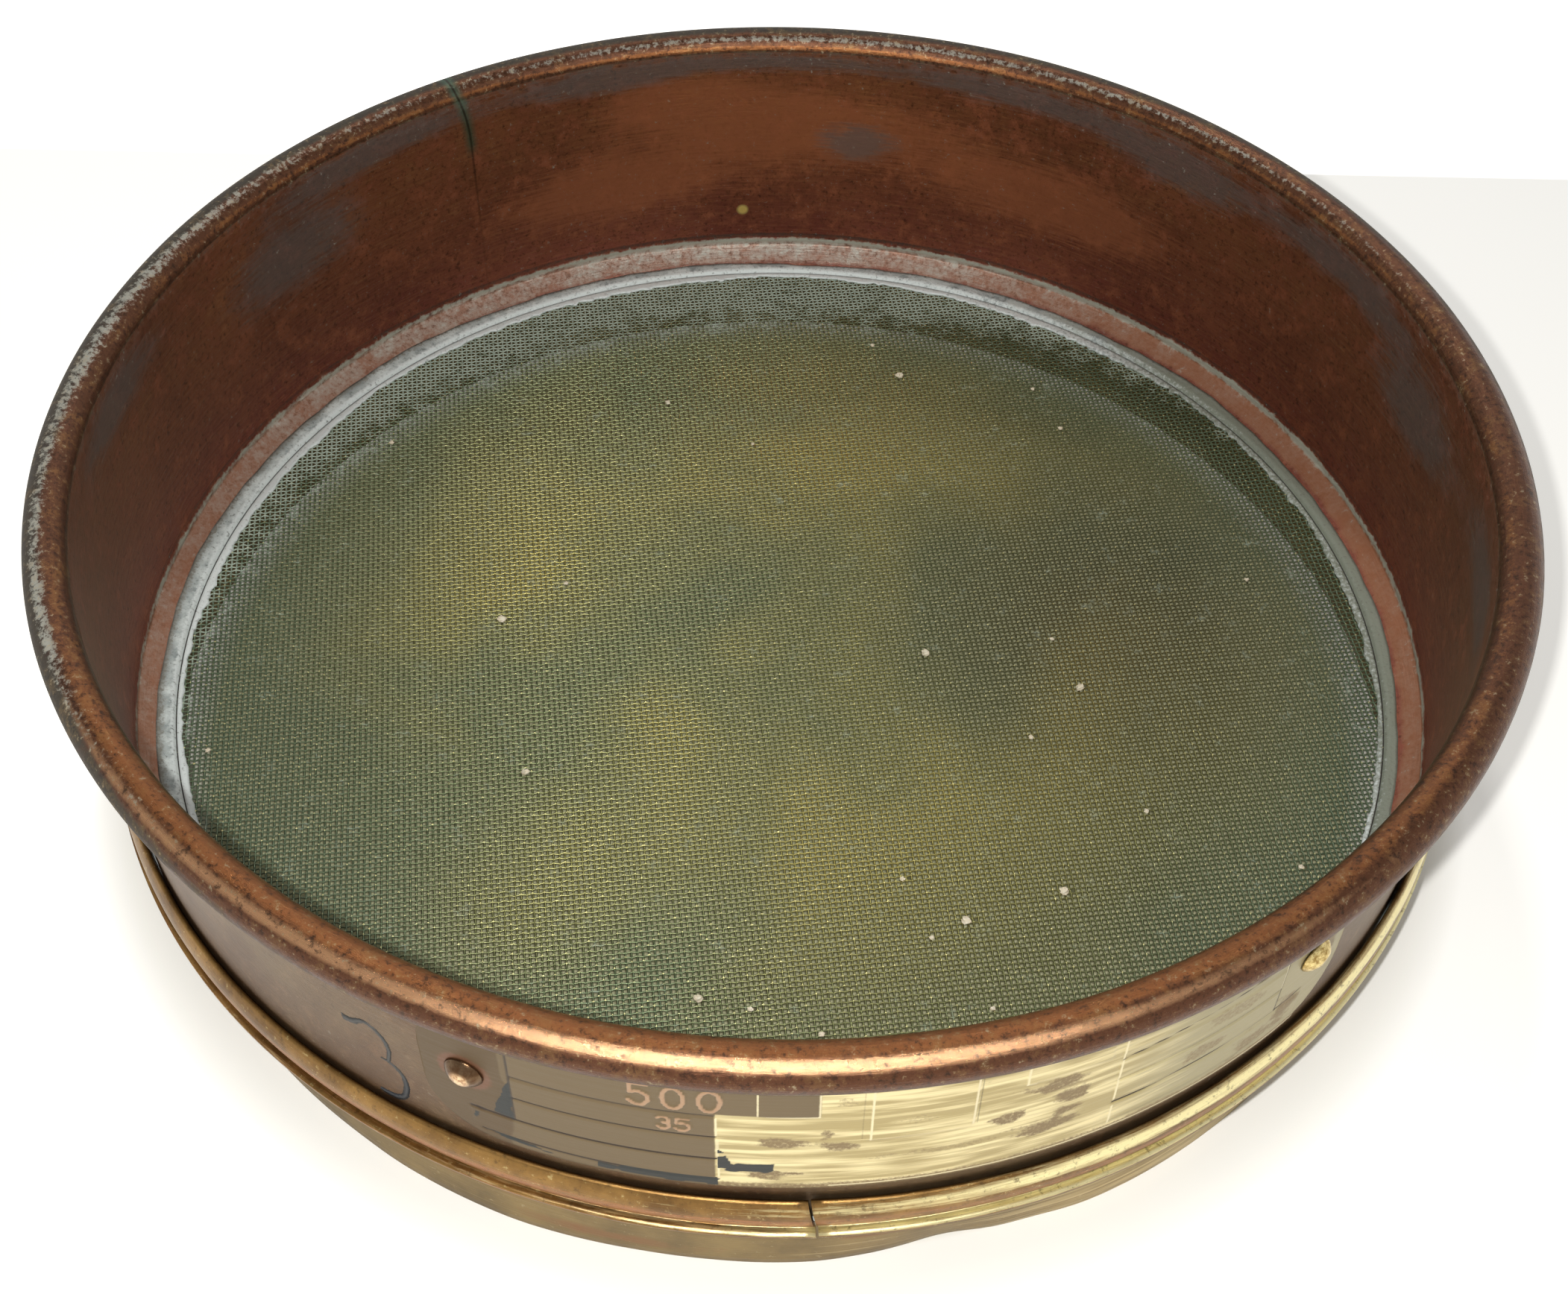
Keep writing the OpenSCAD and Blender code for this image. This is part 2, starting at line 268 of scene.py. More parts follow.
def waves(azimuth, lengths, seed):
    """A smooth closed wobble round the sieve: sines of the given counts per turn, seeded phases."""
    phase = np.random.default_rng(seed).uniform(0, 2 * np.pi, len(lengths))
    return sum(np.sin(np.radians(azimuth) * n + p) / k for k, (n, p) in enumerate(zip(lengths, phase), 1))


def ramp(value, low, high):
    """0 below low, 1 above high, and a straight line between."""
    return np.clip((value - low) / (high - low), 0, 1)


def table_of(azimuth, pairs):
    """Value at each azimuth, straight between pairs of azimuth and value. They start at -180, and
    their first value holds at 180 too, where the table closes."""
    stops, values = zip(*pairs, (180, pairs[0][1]))
    return np.interp((azimuth + 180) % 360 - 180, stops, values)


def spots(azimuth, height, radius, places):
    """Soft oval spots round the sieve, each at an azimuth and height with its two half-widths."""
    total = 0
    for az0, z0, wide, high in places:
        across = np.radians((azimuth - az0 + 180) % 360 - 180) * radius
        total = total + np.exp(-(across / wide) ** 2 - ((height - z0) / high) ** 2)
    return np.clip(total, 0, 1)


BEAD_Z, BEAD_R = RIM_TOP - BEAD_D / 2, BORE_R + BEAD_D / 2
roll = np.radians(np.linspace(180, -110, 37))
roll_r = (BEAD_D - SHEET_T) / 2
bead = np.stack([BEAD_R + roll_r * np.cos(roll), BEAD_Z + roll_r * np.sin(roll)], 1)
WALL_MID, TOE_R, TOE_Z = BORE_R + SHEET_T / 2, 95.4, CLOTH_TOP + SHEET_T / 2
toe, heel, corner, brim = (TOE_R, TOE_Z), (96.6, TOE_Z), (WALL_MID, 17.23), (WALL_MID, BEAD_Z)
low_rows = [(WALL_MID, z) for z in (18.4, 18.8, 19.2, 19.7, 20.4)]
shoulder = [[toe], bend(toe, heel, corner, 0.5, 3), bend(heel, corner, brim, 1.0, 5)]
section = sheet(rows(np.vstack(shoulder + [low_rows, bead]), 1.7), SHEET_T)
azimuth = SEAM + np.arange(STEPS + 1) * STEP
around = azimuth[:-1, None]
inside = np.arange(len(section)) < len(section) // 2
turn = np.degrees(np.arctan2(section[:, 1] - BEAD_Z, section[:, 0] - BEAD_R))
turn = np.where(inside & ((section[:, 1] > BEAD_Z) | (section[:, 0] > BORE_R + 1.2)), turn, 180)
radius = section[:, 0] + 0 * around
height = section[:, 1] + 0 * around
up = np.clip((height - 50) / 10, 0, 1)
radius = radius + up * (0.07 * waves(around, (3, 5, 8, 13, 21), 3) - 0.12)
ridge = inside * np.exp(-((height - 18.35) / 0.75) ** 2) * (height > 17.2)
lumps = np.random.default_rng(31).normal(0, 0.09, radius.shape)
radius = radius - ridge * (0.2 + 0.08 * waves(around, (14, 23, 37, 61), 32) + lumps)
lean = (height - 50) * SEAM_LEAN * up

# round the sieve: how strong the grey tin, the painted highlight, the dark oxide and the rubbed band
# (orange wear, and at the back a painted highlight line) are on the bead, how wide, and how far they
# are turned about its middle, from outward over the top
tin_strength = table_of(around, [(-180, 0.66), (-145, 0.35), (-120, 0.6), (-100, 0.75), (-80, 0.6),
    (-64, 0.75), (-56, 0.3), (-35, 0), (70, 0), (95, 0.1), (115, 0.45), (140, 0.66)])
tin_turn = table_of(around, [(-180, 129), (-150, 126), (-120, 112), (-95, 94), (-80, 78), (-60, 68),
    (60, 90), (95, 118), (125, 126)])
tin_wide = table_of(around, [(-180, 12), (-130, 14), (-105, 26), (-60, 20), (80, 6), (110, 7), (150, 10)])
on_bead = 1.0 * inside * (turn < 179)
tin = on_bead * tin_strength * (1 - ramp(np.abs(turn - tin_turn), 0.3 * tin_wide, 1.4 * tin_wide))
dark_turn = table_of(around, [(-180, 118), (-125, 116), (-95, 112), (-65, 84), (-45, 44), (-30, 14),
    (30, 10), (60, 26), (100, 80), (140, 110)])
# painted highlight: a pale band along the middle of the bead, where it faces the eye, strongest at the front
shine = table_of(around, [(-180, 0), (-75, 0.1), (-50, 0.7), (-14, 1), (10, 1), (35, 0.55), (70, 0.1)])
painted_highlight = on_bead * shine * (1 - ramp(np.abs(turn - 60), 4, 30))
aged = table_of(around, [(-180, 0.9), (-120, 0.95), (-60, 0.95), (-35, 0.6), (0, 0.5), (60, 0.55),
    (110, 0.75)])
patina = on_bead * aged * (1 - ramp(turn, dark_turn - 22, dark_turn + 8))
patina = patina + 0.6 * inside * ramp(height, 55.5, 58) * (turn > 166)
# the rubbed band lies along the bead's top: orange wear in front, and at the back, along the inner top that
# faces the eye, a painted highlight line
gold_turn = table_of(around, [(-180, 160), (-120, 154), (-90, 135), (-60, 112), (60, 116), (90, 140),
    (120, 152)])
gold_wide = table_of(around, [(-180, 8), (-120, 9), (-90, 30), (-60, 40), (50, 40), (80, 14), (120, 8)])
rub_and_highlight_strength = table_of(around, [(-180, 1), (-125, 0.7), (-95, 0.3), (-65, 0.5), (-50, 0.95), (-30, 1), (30, 0.9),
    (60, 0.5), (100, 0.45), (140, 0.8)])
rubbed_and_highlight_line = on_bead * rub_and_highlight_strength * (1 - ramp(np.abs(turn - gold_turn), 0.5 * gold_wide, 1.5 * gold_wide))
# warm and weathered clouds on the wall, lime, a dark line just above the lime ridge, and copper along
# the shoulder
warm = inside * spots(around, height, BORE_R, [(178, 44, 30, 9), (-160, 33, 26, 8), (150, 36, 26, 9),
    (-168, 50, 14, 5)])
weathered = inside * spots(around, height, BORE_R, [(173, 41, 9, 5), (-161, 56, 16, 3.5), (-124, 46, 19, 9),
    (-137, 56.5, 24, 3), (157, 56, 26, 3), (138, 53, 15, 5), (102, 46, 17, 8), (117, 55, 22, 4),
    (78, 50, 20, 7), (-95, 54, 20, 5), (-178, 57, 20, 2)]) * (height > 22)
limed = table_of(around, [(-180, 1.1), (-120, 0.85), (-70, 0.8), (0, 0.6), (70, 0.9), (120, 1.1)])
deposit = inside * limed * np.exp(-((height - 18.2) / 0.85) ** 2) * (height > 16.9)
copper = inside * (height < 17.9) * ramp(radius, 96.8, 97.8)
# how dark the line just above the ridge is round the sieve: most at the back
dark_line_strength = table_of(around, [(-180, 1), (-110, 0.8), (-70, 0.5), (70, 0.5), (110, 0.8)])
groove = inside * np.exp(-((height - 19.5) / 0.45) ** 2) * dark_line_strength
mottle = copper * table_of(around, [(-180, 1), (-140, 0.8), (-100, 0.35), (40, 0.25), (100, 0.1),
    (140, 0.2), (155, 0.7)])
mesh = skin("frame_sheet", round_about(around + lean, radius, height), strip_of(azimuth, section), marks={
    "warm": warm, "bead": on_bead, "tin": tin, "painted_highlight": painted_highlight, "patina": patina, "rubbed_and_highlight_line": rubbed_and_highlight_line,
    "weathered": weathered, "deposit": deposit, "copper": copper, "mottle": mottle, "groove": groove,
    "outside": 1.0 * ~inside * (section[:, 0] > BORE_R + 0.3)})


def drawn_out(tree, strip, along, across, detail, roughness):
    """Fine marks of rolling or brushing: noise over the strip's UV, with so many waves to a mm along
    the strip and across it. Real marks lie 0.1 mm apart; these are coarser, so that they show."""
    place = add(tree, "VectorMath", {0: strip, 1: (along, across, 1.0)}, operation="MULTIPLY")
    return add(tree, "TexNoise", {"Vector": place, "Scale": 1.0, "Detail": detail, "Roughness": roughness})


def ragged(tree, mark, grain, spread, low, high, most=1.0):
    """Share of a marked area with a broken edge: the mark plus the grain times its spread, carried
    from 0 at low to the most at high, both moved up by half the spread."""
    area = add(tree, "Attribute", output="Fac", attribute_name=mark)
    area = add(tree, "Math", {0: grain, 1: spread, 2: area}, operation="MULTIPLY_ADD")
    low, high = low + spread / 2, high + spread / 2
    return add(tree, "MapRange", {"Value": area, "From Min": low, "From Max": high, "To Max": most})


def finished(tree, tone, metallic, rough, grain=None, strength=0.0, depth=0.0):
    """Closes a material's tree with its tone, its share of metal and its roughness, and with bumps
    of a strength and a depth in metres where it has a grain."""
    look = {"Base Color": tone, "Metallic": metallic, "Roughness": rough}
    if grain is not None:
        look["Normal"] = add(tree, "Bump", {"Height": grain, "Strength": strength, "Distance": depth})
    add(tree, "OutputMaterial", {"Surface": add(tree, "BsdfPrincipled", look)})


# tarnished rolled brass: a dull copper-brown oxide skin with fine lengthwise rolling marks, rubbed
# orange on the bead, grey where solder and lime lie on it, with a painted highlight along the bead's
# front and a painted highlight line in the rubbed band along its inner top at the back
frame_metal, tree, mm = blank("tarnished_rolled_brass")
strip = add(tree, "UVMap", uv_map="strip")
z = add(tree, "SeparateXYZ", {0: mm}, "Z")
cloud = add(tree, "TexNoise", {"Vector": mm, "Scale": 0.028, "Detail": 6.0, "Roughness": 0.62})
blotch = add(tree, "TexNoise", {"Vector": mm, "Scale": 0.26, "Detail": 7.0, "Roughness": 0.72})
speck = add(tree, "TexNoise", {"Vector": mm, "Scale": 1.1, "Detail": 4.0, "Roughness": 0.75})
marks = drawn_out(tree, strip, 0.13, 1.7, 7.0, 0.75)
dark = over(tree, "#804238", "#824e37", z, 23.0, 46.0)
pale = over(tree, "#a25d4c", "#a96b4a", z, 23.0, 46.0)
tone = over(tree, dark, pale, cloud, 0.36, 0.66)
tone = over(tree, tone, "#bb8458", marks, 0.50, 0.70, 0.5)
tone = over(tree, tone, "#54301f", marks, 0.48, 0.30, 0.5)
tone = over(tree, tone, over(tree, "#502c20", "#a76349", blotch, 0.36, 0.64), blotch, 0.36, 0.64)
tone = over(tree, tone, "#3e2418", speck, 0.46, 0.30, 0.75)
dull = 0.0
mixed = add(tree, "Mix", {"Factor": 0.45, "A": blotch, "B": speck})
streaks = add(tree, "Mix", {"Factor": 0.6, "A": blotch, "B": marks})
# among these layers the pale one on the bead is the painted highlight, and the orange rubbed one is partly a
# painted highlight line at the back
for mark, grain, spread, colour, most, matt in (
        ("outside", blotch, 0.6, "#5f4a32", 0.9, 0.1), ("warm", streaks, 1.8, "#bd7352", 0.6, 0.0),
        ("weathered", streaks, 2.0, "#5a5958", 0.68, 0.4), ("groove", speck, 1.2, "#37322c", 0.8, 0.4),
        ("bead", blotch, 0.1, "#5c3b28", 0.95, -0.1), ("rubbed_and_highlight_line", mixed, 2.2, "#8d5830", 0.8, -0.1),
        ("painted_highlight", blotch, 0.5, "#c4946c", 0.85, -0.2),
        ("patina", mixed, 2.0, "#39352a", 0.92, 1.1), ("copper", blotch, 1.0, "#976343", 0.95, 0.3),
        ("tin", speck, 3.2, "#9f9e92", 0.9, 0.5), ("deposit", mixed, 2.6, "#a0a596", 0.9, 0.9)):
    share = ragged(tree, mark, grain, spread, 0.4, 0.8, most)
    tone = over(tree, tone, colour, share)
    dull = add(tree, "Math", {0: share, 1: matt, 2: dull}, operation="MULTIPLY_ADD")
for mark, grain, low, high, colour, most in (
        ("bead", mixed, 0.50, 0.64, "#8d7044", 0.4), ("bead", mixed, 0.48, 0.36, "#47321f", 0.4),
        ("bead", speck, 0.59, 0.67, "#a08c6a", 0.45), ("bead", speck, 0.46, 0.35, "#2c2018", 0.65),
        ("mottle", mixed, 0.30, 0.42, "#a08272", 0.8), ("mottle", mixed, 0.44, 0.62, "#bfc2b6", 0.85),
        ("mottle", speck, 0.45, 0.34, "#4f3a2d", 0.6)):
    where = add(tree, "Attribute", output="Fac", attribute_name=mark)
    tone = over(tree, tone, colour, grain, low, high, most, where)
ALL_ROUND = 2 * math.pi * BORE_R
u = add(tree, "SeparateXYZ", {0: strip}, "X")
back = add(tree, "Math", {0: ALL_ROUND, 1: u}, operation="SUBTRACT")
seam = add(tree, "Math", {0: u, 1: back}, operation="MINIMUM")
upper = add(tree, "MapRange", {"Value": z, "From Min": 47.0, "From Max": 50.0})
tone = over(tree, tone, "#47604f", seam, 1.5, 0.2, 0.8, upper)
upper = add(tree, "MapRange", {"Value": z, "From Min": 30.0, "From Max": 56.0, "To Min": 0.15, "To Max": 0.8})
tone = over(tree, tone, "#2c1c14", seam, 0.3, 0.1, 1.0, upper)
# a small bright yellow dot on the far inner wall
bright_dot = add(tree, "VectorMath", {0: mm, 1: (-9.06, 99.59, 25.4)}, operation="DISTANCE")
tone = over(tree, tone, "#ecd07c", bright_dot, 1.25, 0.7, 0.95)
where = add(tree, "Attribute", output="Fac", attribute_name="outside")
for grain, low, high, colour, most in (
        (cloud, 0.46, 0.62, "#776448", 0.7), (mixed, 0.52, 0.64, "#8a6f50", 0.5),
        (mixed, 0.46, 0.34, "#4a3526", 0.6)):
    tone = over(tree, tone, colour, grain, low, high, most, where)
rough = add(tree, "MapRange", {"Value": dull, "From Min": -0.2, "To Min": 0.27, "To Max": 0.72})
metallic = add(tree, "MapRange", {"Value": dull, "To Min": 0.8, "To Max": 0.15})
grain = add(tree, "Math", {0: speck, 1: 0.6, 2: marks}, operation="MULTIPLY_ADD")
finished(tree, tone, metallic, rough, grain, 0.5, 0.0002)

piece = object_of("frame_sheet", mesh, frame_metal)
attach(piece, "root")
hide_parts("upper_frame")

# ---- Wire cloth ---------------------------------------------------------------------------------
# Plain weave of 0.315 mm brass wire with 0.5 mm openings, woven flat on a loom and cut round.
# It is drawn tight and its edge is soldered in between the frame's shoulder and the skirt. White
# flux and lime lie on its outer wires, and a few pale grains are left from the last sieving.

# the tubes have four sides, so they are 0.336 mm from corner to corner, to look like round wires of
# 0.315 mm
WIRE_D, WIRE_R, PITCH, CLOTH_R = 0.315, 0.168, 0.8275, 95.7
CLOTH_MID = CLOTH_TOP - WIRE_D
WEAVE_TURN = 8.2


def weave(name, turn, phase, side, material):
    """Half of the cloth's wires of one direction: zigzags over and under the crossing wires, each
    a four-sided tube with one ring at every crossing, up where row + column + phase is even."""
    count = int(CLOTH_R / PITCH) + 1
    wire, cross = np.meshgrid(np.arange(-count, count), np.arange(-count, count), indexing="ij")
    offset, run = (wire + 0.5) * PITCH, (cross + 0.5) * PITCH
    keep = (offset ** 2 + run ** 2 < CLOTH_R ** 2) & ((wire >= 0) == side)
    wire, cross, offset, run = wire[keep], cross[keep], offset[keep], run[keep]
    chance = np.random.default_rng(7 + phase)
    lift = np.where((wire + cross + phase) % 2 == 0, 1, -1) * WIRE_D / 2 + chance.normal(0, 0.012, len(wire))
    drift = chance.normal(0, 0.014, 2 * count + 1)[wire + count] + chance.normal(0, 0.01, len(wire))
    ends = np.radians(turn)
    way, normal = np.array([np.cos(ends), np.sin(ends)]), np.array([-np.sin(ends), np.cos(ends)])
    centre = run[:, None] * way + (offset + drift)[:, None] * normal
    rings = np.zeros((len(wire), 4, 3))
    rings[:, :, :2] = centre[:, None]
    rings[:, :, 2] = (CLOTH_MID + lift)[:, None]
    rings[:, 0, 2] += WIRE_R
    rings[:, 2, 2] -= WIRE_R
    rings[:, 1, :2] += WIRE_R * normal
    rings[:, 3, :2] -= WIRE_R * normal
    first = np.nonzero(wire[1:] == wire[:-1])[0]
    k = np.arange(4)
    at, after = first[:, None] * 4, (k + 1) % 4
    quads = np.stack([at + k, at + after, at + 4 + after, at + 4 + k], -1).reshape(-1, 4)
    starts = np.concatenate([[0], np.nonzero(wire[1:] != wire[:-1])[0] + 1])
    stops = np.concatenate([starts[1:] - 1, [len(wire) - 1]])
    caps = np.vstack([starts[:, None] * 4 + k[::-1], stops[:, None] * 4 + k])
    mesh = bpy.data.meshes.new(name)
    mesh.from_pydata((rings.reshape(-1, 3) / 1000).tolist(), [], np.vstack([quads, caps]).tolist())
    mesh.polygons.foreach_set("use_smooth", [True] * len(quads) + [False] * len(caps))
    azimuth = np.degrees(np.arctan2(centre[:, 0], -centre[:, 1]))
    edge = table_of(azimuth, [(-180, 76), (-150, 77), (-115, 83), (-85, 89), (-55, 93), (60, 97), (95, 95),
        (130, 90), (160, 80)])
    dust = ramp(np.hypot(centre[:, 0], centre[:, 1]), edge, edge + 10)
    dust = np.repeat(dust, 4).astype(np.float32)
    mesh.attributes.new("dust", "FLOAT", "POINT").data.foreach_set("value", dust)
    made = object_of(name, mesh, material)
    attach(made, "root")
    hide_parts("wire_cloth")


# drawn brass wire gone olive, dull in the valleys, with a painted glint on the crests that is partly
# the polish grains rub there, with broad gold, teal and brown clouds, and chalky near the solder
wire_metal, tree, mm = blank("drawn_brass_wire")
cloud = add(tree, "TexNoise", {"Vector": mm, "Scale": 0.017, "Detail": 3.0, "Roughness": 0.5,
    "Distortion": 0.35})
olive = over(tree, "#616846", "#8f864b", cloud, 0.40, 0.60)
spread = add(tree, "VectorMath", {0: mm, 1: (1.0, 1.0, 0.0)}, operation="MULTIPLY")
spread = add(tree, "VectorMath", {0: spread}, operation="LENGTH")
olive = over(tree, olive, "#53624a", spread, 45.0, 90.0)
bare = add(tree, "MapRange", {"Value": spread, "From Min": 68.0, "From Max": 86.0, "To Min": 0.75,
    "To Max": 0.4})
brown = add(tree, "VectorMath", {0: mm, 1: (52.0, 5.0, 14.0)}, operation="DISTANCE")
olive = over(tree, olive, "#553f24", brown, 42.0, 8.0, 0.45)
# painted glint: the tops of the crests, picked out by height, are lightened to pale gold in random patches
painted_crest_glint = add(tree, "TexNoise", {"Vector": mm, "Scale": 1.1, "Detail": 1.0})
painted_crest_glint = add(tree, "MapRange", {"Value": painted_crest_glint, "From Min": 0.46, "From Max": 0.60, "To Min": 0.1,
    "To Max": 1.0})
z = add(tree, "SeparateXYZ", {0: mm}, "Z")
tone = over(tree, olive, "#e2d798", z, 14.03, 14.14, 1.0, painted_crest_glint)
powder = add(tree, "TexNoise", {"Vector": mm, "Scale": 0.4, "Detail": 6.0, "Roughness": 0.8})
share = ragged(tree, "dust", powder, 3.4, 0.25, 0.95, 0.85)
tone = over(tree, tone, "#a6b3a3", share)
metallic = add(tree, "MapRange", {"Value": share, "To Min": bare, "To Max": 0.0})
rough = add(tree, "MapRange", {"Value": share, "To Min": 0.34, "To Max": 0.85})
finished(tree, tone, metallic, rough)

for name, turned, phase, side in (("warp_wires_left", 90, 0, True), ("warp_wires_right", 90, 0, False),
                                  ("weft_wires_back", 0, 1, True), ("weft_wires_front", 0, 1, False)):
    weave(name, WEAVE_TURN + turned, phase, side, wire_metal)

GRAINS = np.array([(-45.2, 3.2), (-35.6, 11.5), (-38.3, -28.0), (-5.8, 46.2), (15.7, 73.8), (20.4, 65.3),
                   (43.4, 1.3), (47.0, -9.0), (22.9, -2.3), (38.6, -19.2), (54.9, -33.0), (18.1, -46.2),
                   (41.4, -47.9), (27.0, -53.3), (22.0, -56.2), (-10.6, -67.0), (-3.3, -68.5), (6.5, -72.2),
                   (-86.8, -25.0), (-69.0, 44.7), (-21.3, 56.7), (44.5, 62.4), (48.7, 51.9), (76.7, 15.4),
                   (30.0, -67.6), (76.5, -42.7)])
BIG = [0, 2, 5, 7, 8, 12, 13, 15]


def welded(mesh):
    """The mesh with points that lie within 1 micrometre of each other made one."""
    merged = bmesh.new()
    merged.from_mesh(mesh)
    bmesh.ops.remove_doubles(merged, verts=merged.verts, dist=1e-6)
    merged.to_mesh(mesh)
    merged.free()
    return mesh


ROUND, TALL = 8, 6


def lumps_at(name, places, sizes, seed):
    """Small closed stones: balls of 8 points round and 6 from pole to pole whose radius wobbles at
    random, each flattened a little and set down at its place, with the points of its poles merged."""
    chance = np.random.default_rng(seed)
    a = np.radians(np.arange(ROUND) * 360 / ROUND)[None, :, None]
    b = np.radians(np.linspace(-90, 90, TALL))[None, None, :]
    grow = 1 + chance.uniform(-0.3, 0.3, (len(places), ROUND, TALL))
    grow[:, :, 0], grow[:, :, -1] = 1, 1
    turned = chance.uniform(0, 2 * np.pi, (len(places), 1, 1))
    size = np.asarray(sizes)[:, None, None] * grow
    x = size * np.cos(b) * np.cos(a + turned) * 1.15
    y = size * np.cos(b) * np.sin(a + turned)
    ball = np.stack([x, y, size * np.sin(b) * 0.7 + 0 * x], -1) + np.asarray(places)[:, None, None]
    n, i, j = np.meshgrid(np.arange(len(places)), np.arange(ROUND), np.arange(TALL - 1), indexing="ij")
    # the number of a point, by its place round the ball and from pole to pole
    at = lambda p, q: (n * ROUND + p % ROUND) * TALL + q
    quads = np.stack([at(i, j), at(i + 1, j), at(i + 1, j + 1), at(i, j + 1)], -1).reshape(-1, 4)
    mesh = bpy.data.meshes.new(name)
    mesh.from_pydata((ball.reshape(-1, 3) / 1000).tolist(), [], quads.tolist())
    return welded(mesh)


# quartz sand, cream and a little translucent, matt on its broken faces
sand, tree, mm = blank("pale_quartz_sand")
fleck = add(tree, "TexNoise", {"Vector": mm, "Scale": 1.5, "Detail": 2.0})
tone = over(tree, "#b3a07c", "#efe6cf", fleck)
stone = add(tree, "BsdfPrincipled", {"Base Color": tone, "Roughness": 0.6, "Subsurface Weight": 0.1})
add(tree, "OutputMaterial", {"Surface": stone})

chance = np.random.default_rng(11)
sizes = chance.uniform(0.30, 0.42, len(GRAINS))
sizes[BIG] = 0.62
places = np.column_stack([GRAINS, CLOTH_TOP + 0.55 * sizes])
piece = object_of("sand_grains", lumps_at("sand_grains", places, sizes, 12), sand)
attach(piece, "root")

# ---- Skirt --------------------------------------------------------------------------------------
# A plain brass tube under the cloth that enters the sieve below, with a flange turned in for the
# cloth to lie on. Its bottom edge has been knocked in at the front, once deep and once shallow.

SKIRT_R, SKIRT_H, FLANGE_R = 98.8, 13.5, 95.4
mid = SKIRT_R - SHEET_T / 2
flange_z = SKIRT_H - SHEET_T / 2
foot, corner, edge = (mid, 0), (mid, flange_z), (FLANGE_R, flange_z)
section = sheet(rows(np.vstack([[foot], bend(foot, corner, edge, 1.0, 4), [edge]]), 1.3), SHEET_T)
azimuth = SEAM + np.arange(STEPS + 1) * STEP
around = azimuth[:-1, None]
DENTS = [(-180, 98.8), (-35, 98.9), (-31, 99.1), (-20, 99.1), (-15, 98.8), (-10, 98.5), (-5, 98.4),
         (0, 98.4), (3.9, 98.26), (6.25, 97.9), (8.6, 97.6), (9.9, 97.27), (11.1, 97.1), (12.3, 96.72),
         (13.6, 96.62), (14.8, 96.66), (16, 96.95), (17.2, 97.28), (18.4, 97.46), (19.7, 97.58),
         (20.9, 97.65), (22.2, 97.86), (23.4, 98.12), (24.7, 98.34), (26, 98.5), (30, 98.65), (34.7, 98.73),
         (45, 98.8)]
knock = table_of(around, DENTS) - SKIRT_R
knock = sum(np.roll(knock, k, 0) for k in range(-1, 2)) / 3
low = np.clip(1 - section[:, 1] / 12.0, 0, 1) ** 1.3
radius = section[:, 0] + knock * low
height = section[:, 1] + 0 * around
outer = np.arange(len(section)) >= len(section) // 2
rust = outer * spots(around, height, SKIRT_R, [(-30, 8, 22, 2.2), (-52, 6, 9, 3), (-12, 3, 14, 1.6),
    (8, 9, 10, 2.5)])
# scuffs: pale wear on the outside, which on the dented right also stands in for a painted highlight on the
# dents' facets
scuffs_and_painted_highlight = outer * table_of(around, [(-180, 0.3), (0, 0.3), (14, 0.4), (24, 0.6), (50, 0.6), (90, 0.4)])
mesh = skin("skirt_tube", round_about(around, radius, height), strip_of(azimuth, section),
            marks={"rust": rust, "scuffs_and_painted_highlight": scuffs_and_painted_highlight})

# brass sheet with a dull olive tarnish, red-brown where water stood and pale where it is scuffed,
# the pale on the right partly a painted highlight
skirt_metal, tree, mm = blank("olive_tarnished_brass")
strip = add(tree, "UVMap", uv_map="strip")
cloud = add(tree, "TexNoise", {"Vector": mm, "Scale": 0.07, "Detail": 6.0, "Roughness": 0.65})
speck = add(tree, "TexNoise", {"Vector": mm, "Scale": 0.8, "Detail": 4.0, "Roughness": 0.7})
marks = drawn_out(tree, strip, 0.04, 1.8, 4.0, 0.6)
tone = over(tree, "#715d38", "#917a4c", cloud, 0.38, 0.64)
for mark, grain, spread, colour in (("scuffs_and_painted_highlight", marks, 1.2, "#dcc796"), ("rust", cloud, 1.6, "#87603a")):
    share = ragged(tree, mark, grain, spread, 0.45, 0.9)
    tone = over(tree, tone, colour, share)
tone = over(tree, tone, "#c9bb94", speck, 0.62, 0.74, 0.5)
finished(tree, tone, 0.55, 0.5, marks, 0.25, 0.0002)

piece = object_of("skirt_tube", mesh, skirt_metal)
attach(piece, "root")
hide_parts("skirt")

# ---- Joint ring ---------------------------------------------------------------------------------
# A brass strip pressed to a convex band with a lip, bent round the frame's foot and soldered on.
# Its two ends meet at the front in an open, slightly slanted joint. The lip sits on the rim below.

RING_T, RING_Z, RING_H = 0.6, 17.0, 7.0
WAIST_R, BULGE, LIP = 101.5, 1.0, 1.6
band_z0 = RING_Z + 1.5 * RING_T
band_h = RING_Z + RING_H - band_z0
bulge_r = (band_h ** 2 / 4 + BULGE ** 2) / (2 * BULGE)
swing = np.linspace(-1, 1, 13) * math.asin(band_h / 2 / bulge_r)
bulge_at = WAIST_R + BULGE - bulge_r, band_z0 + band_h / 2
band = np.stack([bulge_at[0] + bulge_r * np.cos(swing), bulge_at[1] + bulge_r * np.sin(swing)], 1)
lip_edge, waist = (WAIST_R + LIP, RING_Z + RING_T / 2), (WAIST_R, RING_Z + RING_T / 2)
path = np.vstack([[lip_edge], bend(lip_edge, waist, band[0], 0.42, 4), band])
section = sheet(rows(path, 0.7), RING_T)
SPLIT = 3.0
azimuth = np.linspace(SPLIT + 0.1, SPLIT + 359.9, STEPS + 1)
around = azimuth[:, None]
lean = (section[:, 1] - RING_Z - RING_H / 2) * SEAM_LEAN
radius = section[:, 0] + 0.05 * waves(around, (2, 5, 9, 14), 5)
height = section[:, 1] + 0.05 * waves(around, (3, 4, 7, 11), 6)
